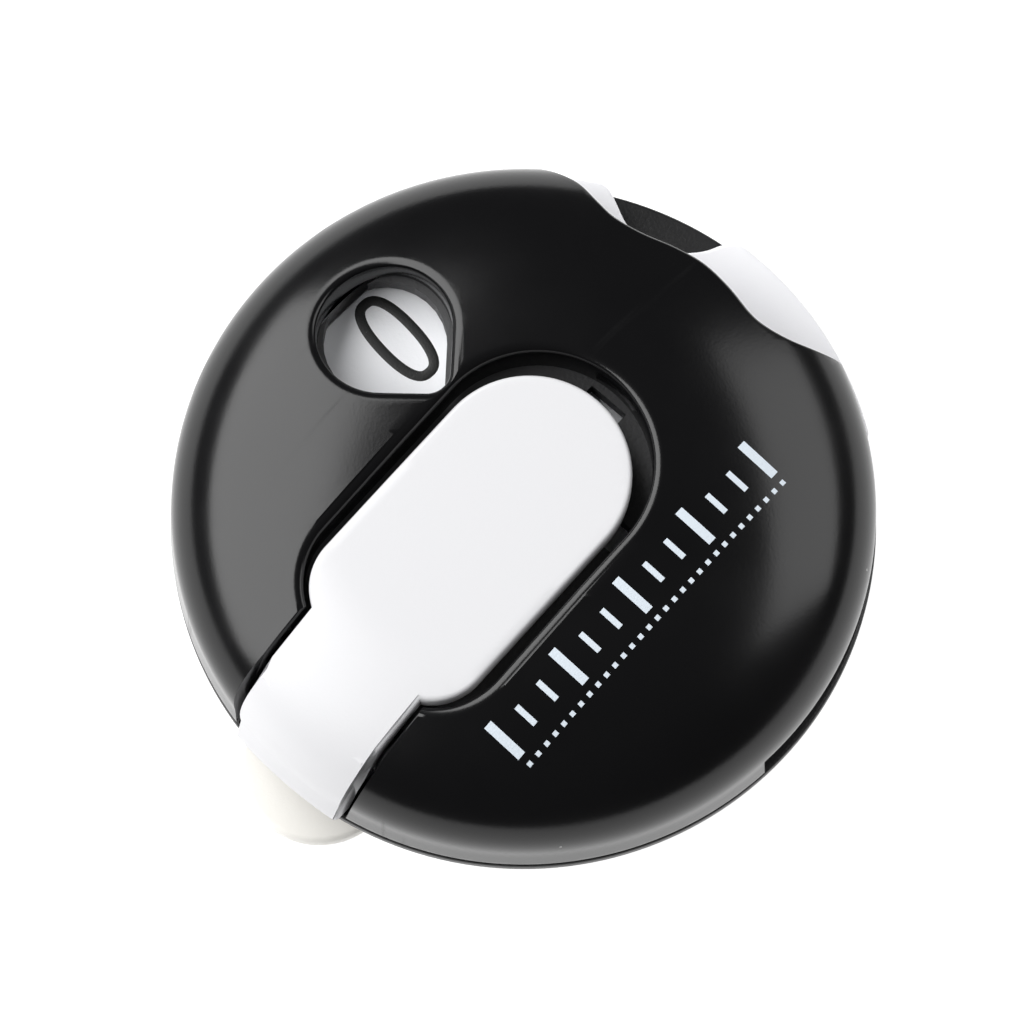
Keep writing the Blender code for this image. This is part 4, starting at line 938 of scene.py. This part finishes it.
def camera():
    data = bpy.data.cameras.new("camera")
    cam = bpy.data.objects.new("camera", data)
    bpy.context.scene.collection.objects.link(cam)
    towards = direction(degrees(AZIMUTH), degrees(ELEVATION))
    cam.location = AIM + towards * DISTANCE
    cam.rotation_euler = towards.to_track_quat("Z", "Y").to_euler()
    data.sensor_width = 36.0
    data.lens = LENS
    data.shift_x, data.shift_y = SHIFT_X, SHIFT_Y
    data.clip_start = 0.01
    bpy.context.scene.camera = cam


def softbox(name, azimuth, elevation, distance, width, height, power, colour=(1, 1, 1)):
    data = bpy.data.lights.new(name, "AREA")
    data.shape = "RECTANGLE"
    data.size, data.size_y = width, height
    data.energy = power
    data.color = colour
    lamp = bpy.data.objects.new(name, data)
    bpy.context.scene.collection.objects.link(lamp)
    towards = direction(azimuth, elevation)
    lamp.location = AIM + towards * distance
    lamp.rotation_euler = towards.to_track_quat("Z", "Y").to_euler()


def studio():
    bpy.ops.mesh.primitive_plane_add(size=6, location=(0, 0, -0.05 * MM))
    floor = added()
    floor.name = "pale_floor"
    mat = bpy.data.materials.new("pale_floor")
    mat.use_nodes = True
    shader = mat.node_tree.nodes["Principled BSDF"]
    shader.inputs["Base Color"].default_value = (0.35, 0.35, 0.35, 1)
    shader.inputs["Roughness"].default_value = 0.9
    shader.inputs["Emission Color"].default_value = (1, 1, 1, 1)
    shader.inputs["Emission Strength"].default_value = 0.95
    floor.data.materials.append(mat)
    world = bpy.data.worlds.new("studio")
    bpy.context.scene.world = world
    world.use_nodes = True
    nodes, link = world.node_tree.nodes, world.node_tree.links.new
    rays, bright = nodes.new("ShaderNodeLightPath"), nodes.new("ShaderNodeMapRange")
    bright.inputs["To Min"].default_value = 0.05
    bright.inputs["To Max"].default_value = 1.0
    link(rays.outputs["Is Camera Ray"], bright.inputs["Value"])
    nodes["Background"].inputs["Color"].default_value = (1, 1, 1, 1)
    link(bright.outputs["Result"], nodes["Background"].inputs["Strength"])
    softbox("left_softbox", -155, 45, 0.5, 0.7, 0.43, 5.0)
    softbox("right_softbox", 61, 38, 0.5, 0.42, 0.3, 1.05)
    bpy.context.scene.view_settings.view_transform = "Standard"


# ---- make -----------------------------------------------------------------
camera()
studio()
dress_kept_nodes()
cover_shell()
index_row()
paddle_shell()
wheel_disc()
printed_numbers()
lever_arc()
case_tray()
screw_heads()
clip_jaw()
clip_coil()
rim_coil()
